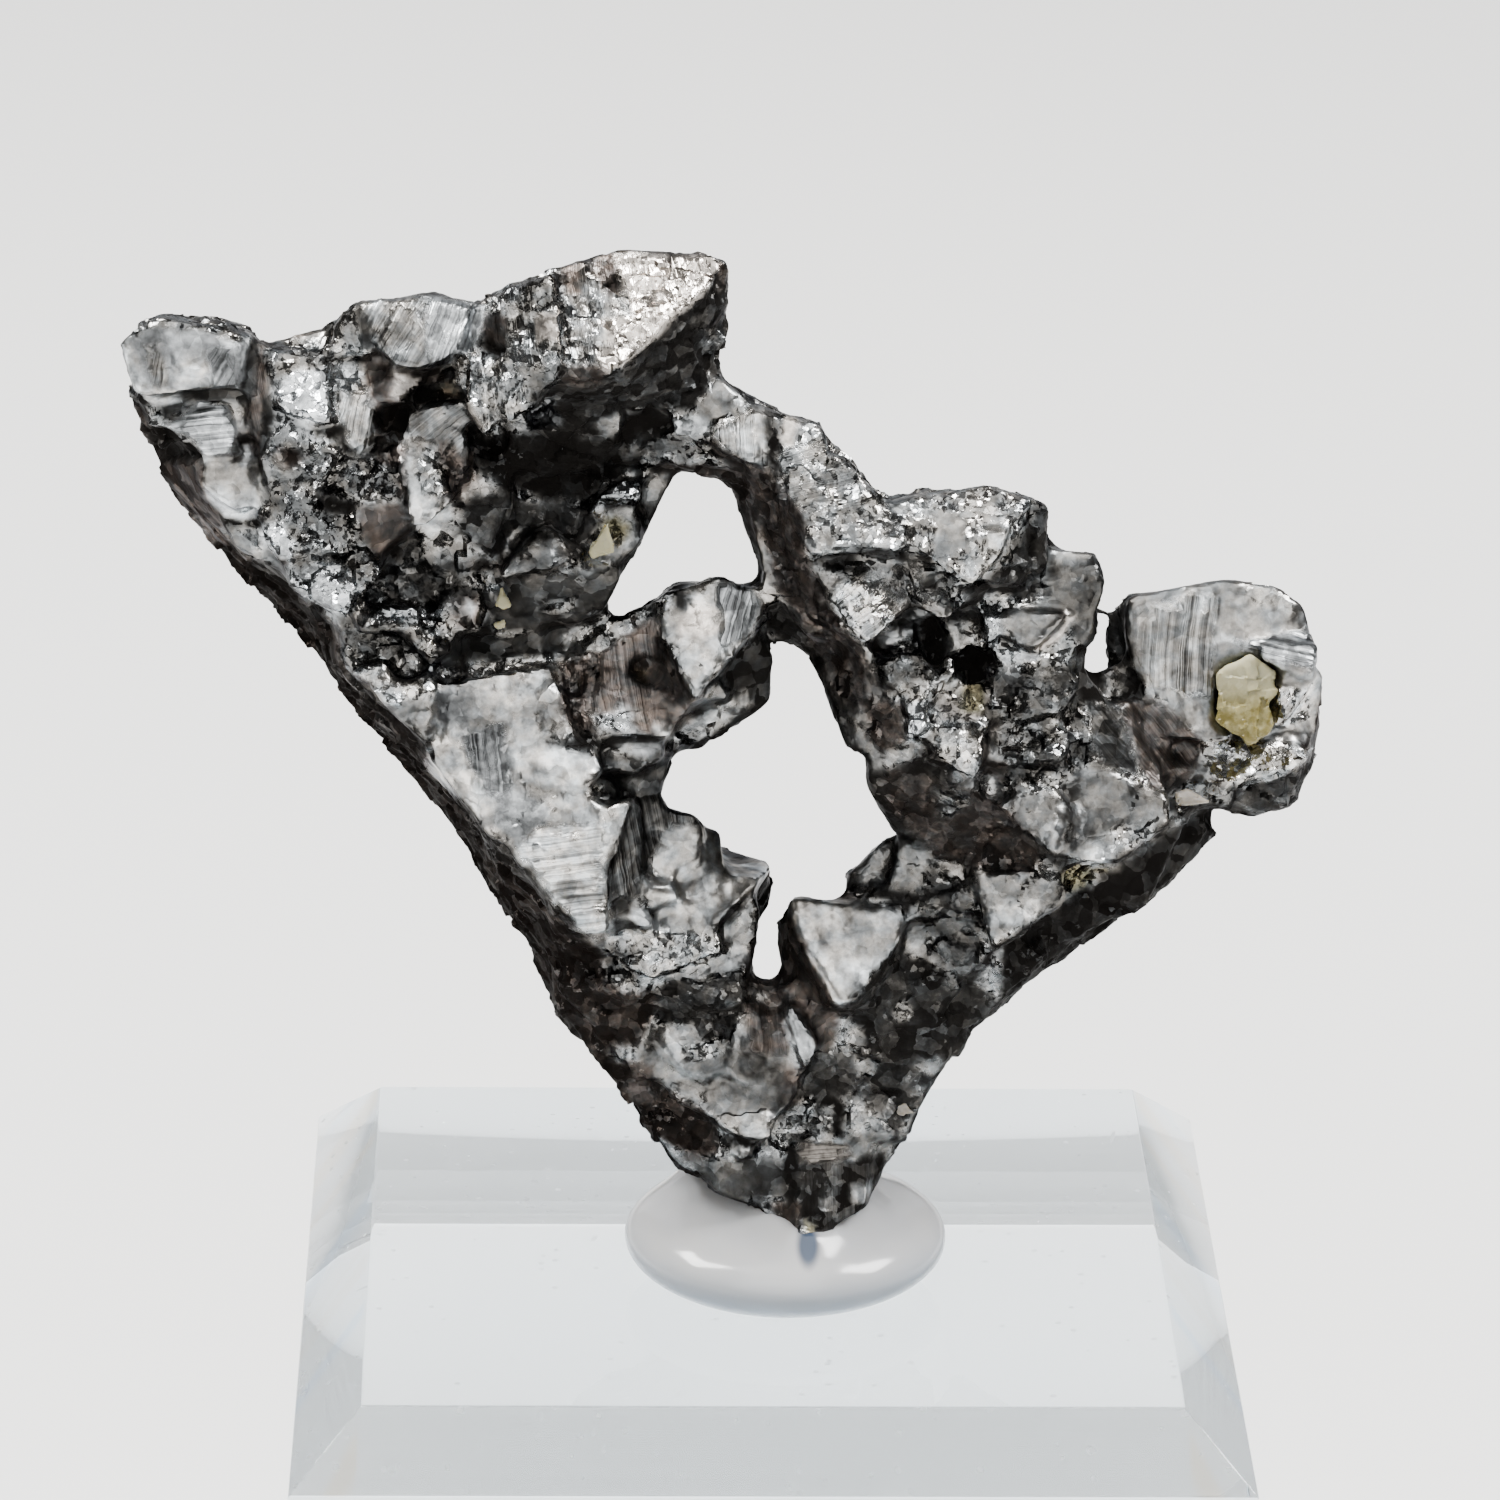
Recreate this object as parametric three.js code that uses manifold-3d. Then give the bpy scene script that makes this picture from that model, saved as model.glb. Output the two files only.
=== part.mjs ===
// Acanthite specimen: a V-shaped group of grown-together metallic crystals, standing with its
// pointed foot pressed into a blob of milky tack on a bevelled square block of clear acrylic.
// Millimetres, X right, Y away from the viewer, Z up. The origin is the centre of the block's underside.
import * as THREE from 'three';
import { ConvexGeometry } from 'three/addons/geometries/ConvexGeometry.js';
import { mergeVertices } from 'three/addons/utils/BufferGeometryUtils.js';
import Module from 'manifold-3d';

const wasm = await Module();
wasm.setup();

// Acrylic block
const BLOCK_SIDE = 31.75;
const BLOCK_HEIGHT = 19;
const BEVEL_RUN = 2.34;
const BEVEL_DROP = 2.17;

// Tack
const TACK_RADIUS = 5.45;
const TACK_HEIGHT = 3.6;
const TACK_UNDERCUT_DEGREES = 60;
const TACK_SEGMENTS = 28;
const TACK_RINGS = 5;

// Where the specimen's foot stands on the block's top, and where it is usually seen from. Corners of the
// crystals are given as (x, z) where they line up with the upright mid-plane through the foot when seen
// from that point, and as a depth: negative in front of the mid-plane, positive behind it.
const FOOT = new THREE.Vector3(0.6, -3.3, BLOCK_HEIGHT);
const VIEWPOINT = new THREE.Vector3(-7.3, -246.9, 110.4);

// Crystals all grew parallel: their broad faces lean back by this much per millimetre of height.
const FACE_LEAN = 0.5;
const REAR_LEAN = -0.3;
const REAR_SHARE = 0.74;
const CORE_BACK = 2.6;
const WELD_STEP = 1e-4;

// Room that the tack's socket and the grains' pockets leave round what sits in them
const CLEARANCE = 0.3;

// Clear way through the big gap between the arms
const WINDOW = { left: -2.15, right: 2.2, low: 15.45, high: 19.85, front: -8, back: 9, flare: 0.6 };

// Finishes
const ACANTHITE = { colour: 0x6f6f70, roughness: 0.42, metalness: 0.9 };
const MILKY_TACK = { colour: 0xd2cfcb, roughness: 0.25 };
const CLEAR_ACRYLIC = { colour: 0xbfc4c8, roughness: 0.06, opacity: 0.35 };

/** The true place of a corner that is seen at (x, z) on the mid-plane and lies at the given depth. */
function sighted(x, z, depth) {
  const onPlane = new THREE.Vector3(x, 0, z);
  const share = (depth - VIEWPOINT.y) / -VIEWPOINT.y;
  return onPlane.sub(VIEWPOINT).multiplyScalar(share).add(VIEWPOINT);
}

/** A closed mesh's shared vertices joined, with nothing but their positions left. */
function welded(geometry) {
  const bare = geometry.clone();
  bare.deleteAttribute('normal');
  bare.deleteAttribute('uv');
  return mergeVertices(bare, WELD_STEP);
}

/** A solid for joining and cutting. */
function solidOf(geometry) {
  const joined = welded(geometry);
  const mesh = new wasm.Mesh({
    numProp: 3,
    vertProperties: new Float32Array(joined.attributes.position.array),
    triVerts: new Uint32Array(joined.index.array),
  });
  return new wasm.Manifold(mesh);
}

/** A solid's surface as geometry again. */
function geometryOf(solid) {
  const mesh = solid.getMesh();
  const geometry = new THREE.BufferGeometry();
  geometry.setAttribute('position', new THREE.BufferAttribute(mesh.vertProperties, 3));
  geometry.setIndex(new THREE.BufferAttribute(mesh.triVerts, 1));
  geometry.computeVertexNormals();
  return geometry;
}

/** The corners of a geometry as points. */
function cornersOf({ attributes: { position } }) {
  const order = Array.from({ length: position.count }, (_, i) => i);
  return order.map((i) => new THREE.Vector3().fromBufferAttribute(position, i));
}

/** The middle of a flat outline. */
function middleOf(outline) {
  const sum = outline.reduce(([sx, sz], [x, z]) => [sx + x, sz + z], [0, 0]);
  return sum.map((value) => value / outline.length);
}

/** A crystal between corners given one by one as [x, z, depth]. */
function between(...corners) {
  return corners.map(([x, z, depth]) => sighted(x, z, depth));
}

/**
 * A crystal with one flat outer face and flat sides that run in towards the group's middle.
 * face: [x, z] corners; depth: of the face's middle; lean, turn: depth gained per mm up and to the right;
 * reach: how far its sides run back; shift, taper: where its inner end is seen, and how large.
 */
function crystal(face, depth, options = {}) {
  const { lean = FACE_LEAN, turn = 0, reach = 4.5, shift = [0, 0], taper = 0.85 } = options;
  const [midX, midZ] = middleOf(face);
  const outer = face.map(([x, z]) => sighted(x, z, depth + lean * (z - midZ) + turn * (x - midX)));
  const outerMiddle = sighted(midX, midZ, depth);
  const innerMiddle = sighted(midX + shift[0], midZ + shift[1], depth + reach);
  const apex = innerMiddle.clone().sub(outerMiddle).multiplyScalar(1 / (1 - taper)).add(outerMiddle);
  const inner = outer.map((corner) => {
    const share = (innerMiddle.y - corner.y) / (apex.y - corner.y);
    return corner.clone().lerp(apex, share);
  });
  return [...outer, ...inner];
}

/** A crystal of the hidden side: it narrows from the section given to a face that looks away. */
function rearCrystal(section, depth, { lean = REAR_LEAN, turn = 0, reach = -5 } = {}) {
  const [midX, midZ] = middleOf(section);
  const face = section.map(([x, z]) => [midX + REAR_SHARE * (x - midX), midZ + REAR_SHARE * (z - midZ)]);
  return crystal(face, depth, { lean, turn, reach, taper: 1 / REAR_SHARE });
}

/** The smooth knob at the left arm's end, with the plates that hang under it. */
function leftKnob() {
  return [
    crystal([[-22.1, 33.3], [-20.9, 34.1], [-17.8, 33.5], [-18, 31.7], [-21.6, 31.4]],
      -2.6, { lean: 0.15, shift: [0.35, 0.3], taper: 0.93 }),
    crystal([[-20.3, 33.2], [-18.2, 33.2], [-18.3, 31.9], [-20.2, 32]], -2.8, { lean: 0.3, reach: 2 }),
    crystal([[-20.7, 30.4], [-18.8, 31], [-18.2, 30.5], [-18.5, 29.4], [-20.2, 29.6]], -2.3),
    crystal([[-19.6, 29.3], [-17.6, 29.1], [-17.6, 28.1], [-18.3, 27.4], [-19.6, 28.3]], -2.7),
    crystal([[-17.9, 33.3], [-17.3, 33.2], [-17.3, 30], [-17.8, 29.9]], -2.2, { lean: 0.2 }),
  ];
}

/** The ledgy front of the left arm, down to its bright lowest face. */
function leftArmFront() {
  return [
    crystal([[-17.2, 32.9], [-15.3, 32.9], [-15.1, 30.4], [-16.9, 30.9]], -2.8),
    crystal([[-14.9, 31.6], [-14.2, 31.7], [-13.6, 30.2], [-14.4, 29.5], [-14.9, 30]], -2.7),
    crystal([[-17.4, 30], [-16, 30.4], [-14.9, 30.1], [-15.2, 29], [-16.6, 28.7], [-17.6, 29.1]], -3),
    crystal([[-15.2, 29.6], [-13.4, 29.6], [-13.4, 28.4], [-14.6, 28.1], [-15.4, 28.6]], -2.8),
    crystal([[-17.5, 28.8], [-16.2, 28.9], [-15.2, 28.4], [-15.6, 27.7], [-17, 27.6]], -3.3),
    crystal([[-17.6, 27.3], [-16.6, 27.6], [-15.6, 27.3], [-15.1, 26.4], [-17, 25.7]], -3.6),
    crystal([[-15.8, 27.6], [-14.6, 27.8], [-14.3, 26.6], [-15, 26], [-15.9, 26.4]], -3.4),
    crystal([[-14.4, 28], [-12.9, 27.9], [-12.6, 26.8], [-13.5, 26.1], [-14.1, 26.3]],
      -3, { lean: -0.1, turn: 0.55 }),
    crystal([[-16.8, 25.4], [-15.6, 25.9], [-13.4, 25.8], [-14.9, 23.9], [-16.8, 24.9]], -3.7),
  ];
}

/** The crystal left of the crest, the ribbed ledge under it and the lump that hangs from it. */
function leftCrest() {
  return [
    crystal([[-14.5, 34.6], [-12, 34.9], [-10.2, 34.5], [-10.5, 33.3], [-12.2, 32.4], [-13.2, 32.5]],
      -2.7, { reach: 6, shift: [0.1, 0.1], taper: 0.93 }),
    crystal([[-15.2, 33.6], [-14.6, 34.5], [-14, 32.7], [-15, 32.9]], -2.2, { lean: 0.2, turn: -0.5 }),
    crystal([[-13.3, 32.2], [-12.1, 32.3], [-12.2, 31.6], [-13.3, 31.1], [-13.8, 31.6]],
      -2.5, { lean: 0.3 }),
    crystal([[-13.1, 29.9], [-11.9, 29.3], [-11.2, 28], [-12.2, 26.95], [-12.7, 27]],
      -4.1, { lean: 0.4, taper: 0.8, shift: [0.3, 0.6] }),
    crystal([[-12.7, 30.9], [-11.2, 31.3], [-10.6, 29.4], [-11.2, 28.5], [-13, 30]],
      -3.3, { lean: -0.1, turn: 0.3 }),
  ];
}

/** The big crest crystal: bright leaning face, dark side face under it, upright ridges at its left end. */
function crest() {
  const ridge = (left, right, top, foot, depth) => crystal(
    [[left, top - 0.4], [(left + right) / 2, top], [right, top - 0.1], [right + 0.05, foot + 0.7],
      [(left + right) / 2, foot], [left - 0.1, foot + 0.9]],
    depth, { lean: 0.3, turn: -0.2, shift: [0.5, 0.2] });
  return [
    between(
      [-9.8, 34.9, -2.6], [-8, 35.9, -2.3], [-6.1, 36.5, -2], [-3.6, 36.4, -2], [-2.3, 36.1, -2.2],
      [-3.2, 35, -2.9], [-5, 33, -4.2], [-5.9, 32.3, -4.7], [-7, 32.1, -4.9], [-8.6, 32.3, -4.6],
      [-9.4, 33.3, -3.8],
      [-7.6, 30.6, -1.5], [-6, 30.4, -1], [-2.9, 31.3, -0.6], [-2.5, 32.6, -0.6], [-2.3, 35.2, -0.5],
      [-9.3, 34.6, 3], [-3, 35.9, 3], [-3.5, 32.5, 3.6], [-8.5, 32, 3.6]),
    ridge(-10.7, -9.7, 34.9, 30, -3.9),
    ridge(-9.7, -9, 35.2, 30.4, -4.3),
    ridge(-9, -8.4, 35.5, 30.9, -4.6),
    ridge(-8.4, -7.8, 35.7, 31.7, -4.8),
    crystal([[-9.4, 30.3], [-5, 30.8], [-5, 29.3], [-8.3, 28.7], [-9.5, 29.2]], -1.9,
      { lean: -0.35 }),
  ];
}

/** The shaded hollow under the crest, with its ledges and the rounded lobe at its foot. */
function hollowUnderCrest() {
  return [
    crystal([[-14, 26], [-12.6, 26.9], [-11.5, 26.5], [-11.2, 25.4], [-12.3, 24.6], [-14, 24.6]],
      -1.4, { lean: -0.3 }),
    crystal([[-12.5, 27], [-11, 28], [-9.3, 27.9], [-10.3, 25.7], [-12, 25.5]], -1.8,
      { lean: -0.1 }),
    crystal([[-10.6, 29.5], [-9.5, 29.2], [-9.4, 27.9], [-10.7, 27.6], [-11.2, 28.2]], -2, { lean: 0.2 }),
    crystal([[-11.6, 24.8], [-10.4, 25], [-10, 23.4], [-11.2, 23.4], [-11.8, 24]], -2.2),
    crystal([[-10, 25.1], [-8.9, 26.6], [-8.2, 27], [-6.9, 26]],
      -2.9, { lean: 0.8, reach: 3 }),
    crystal([[-9.6, 25.2], [-6.2, 25.7], [-5.7, 25.2], [-6.3, 24.1], [-7.5, 23.5], [-9.5, 24]],
      -2.1, { lean: -0.35 }),
    crystal([[-6.8, 27.7], [-6.4, 28.3], [-5, 28.3], [-5.1, 27.9]], -2.6, { reach: 3 }),
    crystal([[-7, 27.4], [-5.2, 27.6], [-4.9, 26.6], [-5.6, 25.8], [-7, 26]], -1.9, { lean: 0.2 }),
    crystal([[-11, 23.4], [-8.6, 23.5], [-8, 22.6], [-8.4, 22], [-10.9, 21.8], [-11.4, 22.6]],
      -1.5, { lean: -0.6 }),
  ];
}

/** Ledges stepping down between the left arm and the broad bright face. */
function leftLedges() {
  return [
    crystal([[-14.8, 23.6], [-11.4, 23.4], [-10.9, 22], [-11.8, 20], [-13.6, 20.5], [-14.8, 22.2]],
      -2.4, { lean: 0.3 }),
    crystal([[-14.2, 23.9], [-12.4, 24.3], [-12.3, 23.4], [-14.5, 23.4]],
      -3, { lean: 0.9 }),
    crystal([[-12.9, 23.2], [-12.1, 23.25], [-11.2, 22.7], [-12, 22.4]], -3.2, { lean: 0.8 }),
    crystal([[-16.2, 25], [-13.6, 25.7], [-13.4, 23], [-15.8, 23]], -0.6, { lean: -0.2 }),
    crystal([[-14.8, 22], [-13.4, 22.45], [-13.4, 22], [-14.1, 21.6]], -3.4, { lean: 0.8 }),
    crystal([[-14, 21.5], [-11.9, 21.8], [-11.9, 21.1], [-13.4, 20.8]], -3.8, { lean: 0.8 }),
    crystal([[-13.4, 20.6], [-12.5, 20.8], [-11.8, 20.5], [-12.1, 19.3]], -4),
  ];
}

/** The broad bright face at centre left and its striated lower end. */
function broadFace() {
  const striation = (top, foot, left, right, depth) => crystal(
    [[left, top], [right, top + 0.2], [right, foot + 0.2], [left + 0.2, foot]],
    depth, { lean: 0.9, reach: 3 });
  return [
    crystal([[-12, 21.4], [-8, 22.2], [-6.5, 18.8], [-9.2, 15.7], [-9.9, 16], [-12.1, 18.8]],
      -3.9, { lean: 0.25, reach: 6 }),
    crystal([[-9, 16.6], [-7.8, 17], [-6.9, 17.6], [-6, 17.1], [-6, 12.6], [-6.9, 12.6], [-7.9, 13.4],
      [-9.2, 15.3]],
      -4.8, { lean: 0.15, reach: 6 }),
    striation(16.2, 15.5, -8.5, -6.1, -4.9),
    striation(15.4, 14.8, -8.7, -6.2, -5),
    striation(14.3, 13.9, -8, -6.2, -5.15),
    striation(13.7, 13, -7.8, -6.1, -5.25),
    crystal([[-5.9, 17.2], [-5.3, 17.5], [-5.7, 15.5], [-6, 15.4]], -4.8, { lean: 0.2 }),
    crystal([[-5.4, 17.5], [-4.9, 17.2], [-4.9, 14], [-5.5, 13.8], [-6, 14.5]], -3.6,
      { lean: 0, turn: 0.9 }),
    crystal([[-7.8, 19.4], [-6.4, 19], [-6.2, 18.3], [-7, 17.8], [-8.3, 18.2], [-8.6, 19]],
      -4.1, { lean: 0.6, reach: 3 }),
  ];
}

/** The mass between the broad face and the centre branch. */
function centreMass() {
  return [
    crystal([[-7.8, 22.3], [-4.6, 24.4], [-4.4, 23], [-7.4, 20.8]],
      -1.6, { lean: 0.2 }),
    crystal([[-6.9, 21.8], [-5.7, 22], [-4, 20.9], [-3.9, 19.6], [-6.3, 19.6], [-7, 20.5]], -2.6),
    crystal([[-6.2, 19.2], [-4, 19], [-5.3, 18.2], [-6.2, 18.5]], -2.9),
    crystal([[-6, 18.6], [-4.9, 18.7], [-3.9, 16.9], [-4.6, 15.2]], -2, { lean: 0.1, turn: 0.4 }),
    between(
      [-4.6, 24.4, -1.4], [-4.4, 23.2, -1.9], [-3.9, 22.2, -2.6], [-3.4, 20.8, -3.2], [-3.5, 20.3, -2.8],
      [-4.4, 20.4, -1.6], [-4.7, 21.8, -1.2], [-5.1, 23, -0.8], [-2.5, 24, 1], [-2.6, 21, 1]),
  ];
}

/** The branch between the two gaps: one bright face pointing down, over a shaded body. */
function centreBranch() {
  return [
    crystal([[-4.5, 24.6], [-2.5, 25.3], [-1.1, 24.6], [-1, 23.9], [-3.3, 20.8], [-4.5, 23.2]],
      -2.4, { reach: 4, shift: [0.4, -0.3], taper: 0.9 }),
    crystal([[-3.3, 20.9], [-2.8, 21.7], [-2.1, 21.4], [-2.1, 20.9]], -2.6, { reach: 2.5 }),
    crystal([[-2.6, 22.3], [-1.2, 23.4], [-0.7, 22.6], [-0.8, 21], [-1.8, 20.1], [-3, 19.9], [-3.3, 20.8]],
      -1,
      { lean: -0.3, turn: 0.4, reach: 3 }),
    crystal([[-4.3, 20.2], [-3.3, 20.8], [-0.9, 20.9], [-3, 19.25], [-4.3, 19.1]], -0.8,
      { lean: 0.2, reach: 3 }),
  ];
}

/** The neck that joins the crest to the right arm. */
function neck() {
  return [
    crystal([[-3.2, 31], [-2.5, 32.3], [-1.7, 31.4], [-1.8, 30.9]], -2.2),
    crystal([[-4.1, 30.8], [-2.2, 31], [-3, 30.1], [-4.1, 30.2]], -2.4),
    crystal([[-2.6, 30.4], [-1.5, 31], [-1, 30.8], [-1.4, 29], [-2.6, 29.8]], -2.9),
    crystal([[-5, 29.9], [-2.8, 29.95], [-2.6, 29.7], [-4.9, 28.8]], -1.4, { lean: -0.2 }),
  ];
}

/** The bright stepped blocks along the right arm's top. */
function rightArmBlocks() {
  return [
    crystal([[-1.5, 31.2], [0.7, 30.5], [0.95, 29.9], [-0.5, 29.4]], -3,
      { shift: [0, 0.1], taper: 0.95 }),
    crystal([[-0.7, 29.3], [1.6, 29.5], [2.8, 28], [-0.1, 27.1]],
      -3.7, { taper: 0.95 }),
    crystal([[0.1, 27.3], [3.5, 27.4], [3.9, 26.8], [3.6, 26.2], [0.5, 26]], -4.5),
    crystal([[2.9, 27.9], [6.2, 28.5], [7.9, 28], [7.3, 27.3], [4, 26.9]], -3.5,
      { lean: 0.6, taper: 0.95 }),
    crystal([[3.9, 27], [5.3, 27.4], [6.8, 26.3], [5.8, 25], [3.9, 26.5]], -4.3),
    crystal([[6.1, 26.9], [6.9, 27], [7, 26.7], [6.2, 26.6]], -4.5, { lean: 0.3, reach: 2.5 }),
    crystal([[7.9, 28], [8.3, 27.6], [8.1, 25.7], [7.5, 25], [6.3, 25], [6.9, 27.2]], -2.9,
      { lean: 0.1, turn: 0.9 }),
    crystal([[0.95, 25.8], [1, 25], [2.35, 23], [4, 24.4], [3.9, 25.8]],
      -3.9),
    crystal([[4.3, 24.2], [4.7, 24.7], [5.4, 24.2], [5, 23.9]], -3.8, { reach: 3 }),
    crystal([[4.1, 25.9], [6.6, 25], [5.6, 24.3], [4.2, 24.7]], -3, { lean: -0.4 }),
  ];
}

/** The brown side faces that run down the right arm's left edge to the big gap's right wall. */
function rightArmWall() {
  return [
    between(
      [-2.3, 29.4, -0.8], [-1.9, 28.6, -0.6], [-1.9, 27.4, -0.4], [-1.5, 26.2, -0.2], [-1.2, 25.2, 0],
      [-1.3, 29.2, -2.9], [-0.6, 28.1, -3.3], [0, 27, -3.7], [0.5, 26.1, -3.8],
      [1, 29.5, 2.5], [2, 26, 3.2], [0, 25.4, 2]),
    between(
      [-1.3, 25.3, 0], [-0.9, 24, 0], [-0.6, 23.5, 0.2], [0.1, 22.8, 0.2], [0.5, 22.4, 0.4],
      [0.5, 26.1, -3.6], [1, 25.1, -3.6], [1.5, 24, -3.4], [2.2, 23.1, -3.3], [2.6, 22.5, -2.8],
      [3, 25.5, 3], [3, 23, 3]),
    between(
      [0.5, 22.4, -0.5], [1.1, 21.5, -0.8], [1.5, 20.3, -1.4], [2, 18.95, -2.5],
      [2.6, 22.5, -3], [3.3, 21.2, -3.3], [4.2, 19.4, -3.4], [4.6, 18.7, -3.3], [3.2, 18.2, -2.9],
      [3, 22, 3], [4, 20.4, 3], [4.8, 19, 2]),
    between(
      [2, 18.95, -2.5], [2.4, 18.4, -2.6], [2.9, 17.9, -2.4], [3.4, 17, -1.5], [3.3, 16.5, -1],
      [4.6, 18.7, -3.2], [6, 18, -3], [7, 16.8, -2.4], [8.5, 15.5, -1.9], [5.9, 15.1, -1.2],
      [4.2, 15.4, -1],
      [5, 18.5, 3], [8, 17.5, 3], [5, 16, 2.5]),
  ];
}

/** The rubbly middle of the right arm, around its small deep hollow. */
function rightArmMiddle() {
  return [
    crystal([[2.7, 22.6], [5.2, 22.6], [5.3, 21.9], [4.6, 21.3], [3, 21.4]], -3.3),
    crystal([[3.6, 20.8], [4.4, 21.2], [4.4, 19.9], [3.9, 19.55]], -4.1,
      { lean: 0.35, reach: 3 }),
    crystal([[4.9, 19.9], [5.7, 20.4], [6.4, 19.9], [6.1, 18.1], [4.5, 18.9]], -3.9, { reach: 3 }),
    crystal([[5.2, 21.9], [6.2, 21.4], [6.3, 20.4], [4.5, 20.9]], -3.1),
    crystal([[6.3, 22.6], [7.6, 22.9], [9.2, 22.3], [9.5, 21.5], [9, 20.5], [7, 20.2], [6.2, 21]],
      -2.8, { lean: 0.3 }),
    crystal([[6.4, 20.2], [8.3, 20.3], [9.2, 19.6], [9, 18.9], [7, 18.6], [6.4, 19.2]], -2.7),
    crystal([[6.6, 18.7], [8.8, 18.9], [9.4, 18.4], [9, 17.8], [7.2, 17.8]], -2.5, { lean: -0.4 }),
    crystal([[8.2, 26.4], [9.9, 26.25], [10.2, 25.2], [9.6, 22.7], [8.9, 23], [7.8, 24.6]],
      -1.9, { lean: 0.25, shift: [-0.1, 0] }),
    crystal([[7, 24.3], [9.15, 24], [8.1, 22.8], [7.3, 23]], -3, { reach: 3 }),
    crystal([[6.3, 24.1], [6.65, 24.1], [6.6, 23.2], [6.4, 22.9]], -3, { lean: 0.2, reach: 3 }),
  ];
}

/** The paired blocks at lower right and the one under them. */
function lowerRightBlocks() {
  return [
    crystal([[6.9, 17.3], [7.6, 17.9], [8.9, 17.8], [9.4, 17], [9, 15.2]], -3.4),
    crystal([[9.6, 18.5], [10.4, 18.6], [12.6, 17.6], [12.7, 16.6], [10.9, 15.2], [9.4, 15.2]], -2.9),
    crystal([[6, 15], [8.8, 15], [9.3, 14.5], [9.2, 13.8], [6.75, 12.1]], -2.6),
    crystal([[9.2, 21.9], [9.9, 21.7], [11, 19], [10, 18.7], [9.3, 19.5]], -1.8, { lean: 0.2 }),
    crystal([[10.4, 20.9], [11.2, 21], [12.2, 17.6], [11.5, 17.8], [10.6, 19.2]], -1.2, { lean: 0.1 }),
    crystal([[11.4, 21.3], [12.1, 20.9], [12.8, 18], [12.2, 17.7], [11.2, 20]], -0.4,
      { lean: 0.1 }),
  ];
}

/** The knob at the right arm's end, set back from the rest. */
function rightKnob() {
  return [
    crystal([[11, 24.7], [14.2, 25.3], [15.8, 25.1], [16.8, 24.4], [17.5, 22.3], [16.2, 20.2],
      [14, 19.5], [12.4, 19.7], [10.95, 23.2]], 0.2,
    { lean: 0.3, reach: 5.5, shift: [-0.4, 0], taper: 0.94 }),
    crystal([[12.7, 19.8], [17.2, 19.4], [17, 18.8], [14.3, 18]], 0.2,
      { lean: 0.8 }),
    crystal([[14, 17.9], [17.1, 18.6], [16.9, 17.6], [16.1, 17.1], [15.3, 16.9], [14, 17.3]],
      0.8, { lean: -0.3 }),
    crystal([[15.9, 21.8], [17.6, 22], [17.5, 20.1], [17.2, 18.3], [15.8, 18.2]], 1.4, { lean: 0 }),
    crystal([[12.2, 18.9], [14.8, 18.4], [14.7, 17.3], [13, 17.15], [12.2, 17.6]], -0.3,
      { lean: 0, reach: 3.5 }),
    crystal([[15.5, 23.1], [17.4, 22.9], [17.3, 21.6], [15.4, 22.4]], -0.6, { reach: 3 }),
    crystal([[16.1, 22], [17.2, 21.5], [16.4, 20.3], [16.1, 20.5]], -0.7, { reach: 3 }),
    crystal([[10.4, 24.1], [11.3, 24.7], [12.6, 19.6], [11.4, 20.7], [10.4, 22.8]], 1.6,
      { lean: 0, turn: -0.5 }),
  ];
}

/** The shaded mass that closes the group behind its lower right. */
function lowerRightRear() {
  return [
    crystal([[9, 15.4], [13.4, 17], [14.3, 16.3], [11.9, 13.7], [10, 12.9], [8.7, 13.3]], 1.6),
    crystal([[6.8, 12.8], [9.5, 13.3], [10, 12.8], [6.2, 9.1], [5.8, 10.8]], 0.2,
      { lean: 0.3 }),
    crystal([[9, 15.2], [11.4, 14.9], [11.6, 14.2], [9.8, 13.6], [8.9, 14]], 0.4, { lean: 0.3 }),
  ];
}

/** The stub that points into the big gap from its lower left. */
function stub() {
  return [
    between(
      [-3, 16.35, -0.9], [-2.4, 16.3, -0.9], [-1.2, 16.1, -0.8], [-0.7, 15.8, -0.9], [-0.55, 15.3, -1.1],
      [-0.8, 14.9, -1.4], [-1.3, 14.4, -1.8], [-1.7, 13.9, -2.2], [-2.1, 13.2, -2.7], [-3, 13, -2.9],
      [-4.2, 13.9, -2.6], [-4.2, 15.6, -1.5],
      [-0.7, 14.2, 2.5], [-1.2, 12.8, 2.5], [-3.2, 15.8, 3.5], [-3.5, 12.5, 3.5]),
    crystal([[-4.6, 17], [-3.3, 16.9], [-2.9, 16.4], [-3, 15], [-4.4, 14.4], [-4.9, 15.6]],
      -2, { lean: 0.4 }),
    crystal([[-5.2, 13.4], [-4.8, 13.5], [-4.5, 12.8], [-5, 12.7]], -3.6, { lean: 0.2, reach: 2.5 }),
    crystal([[-4.4, 14.4], [-3.9, 14.3], [-3.6, 13.8], [-4.2, 13.6]], -3.1, { lean: 0.2, reach: 2.5 }),
    crystal([[-4.9, 14.6], [-4.6, 14.5], [-4.5, 14], [-4.9, 13.95]], -3.3, { lean: 0.2, reach: 2.5 }),
  ];
}

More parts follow.
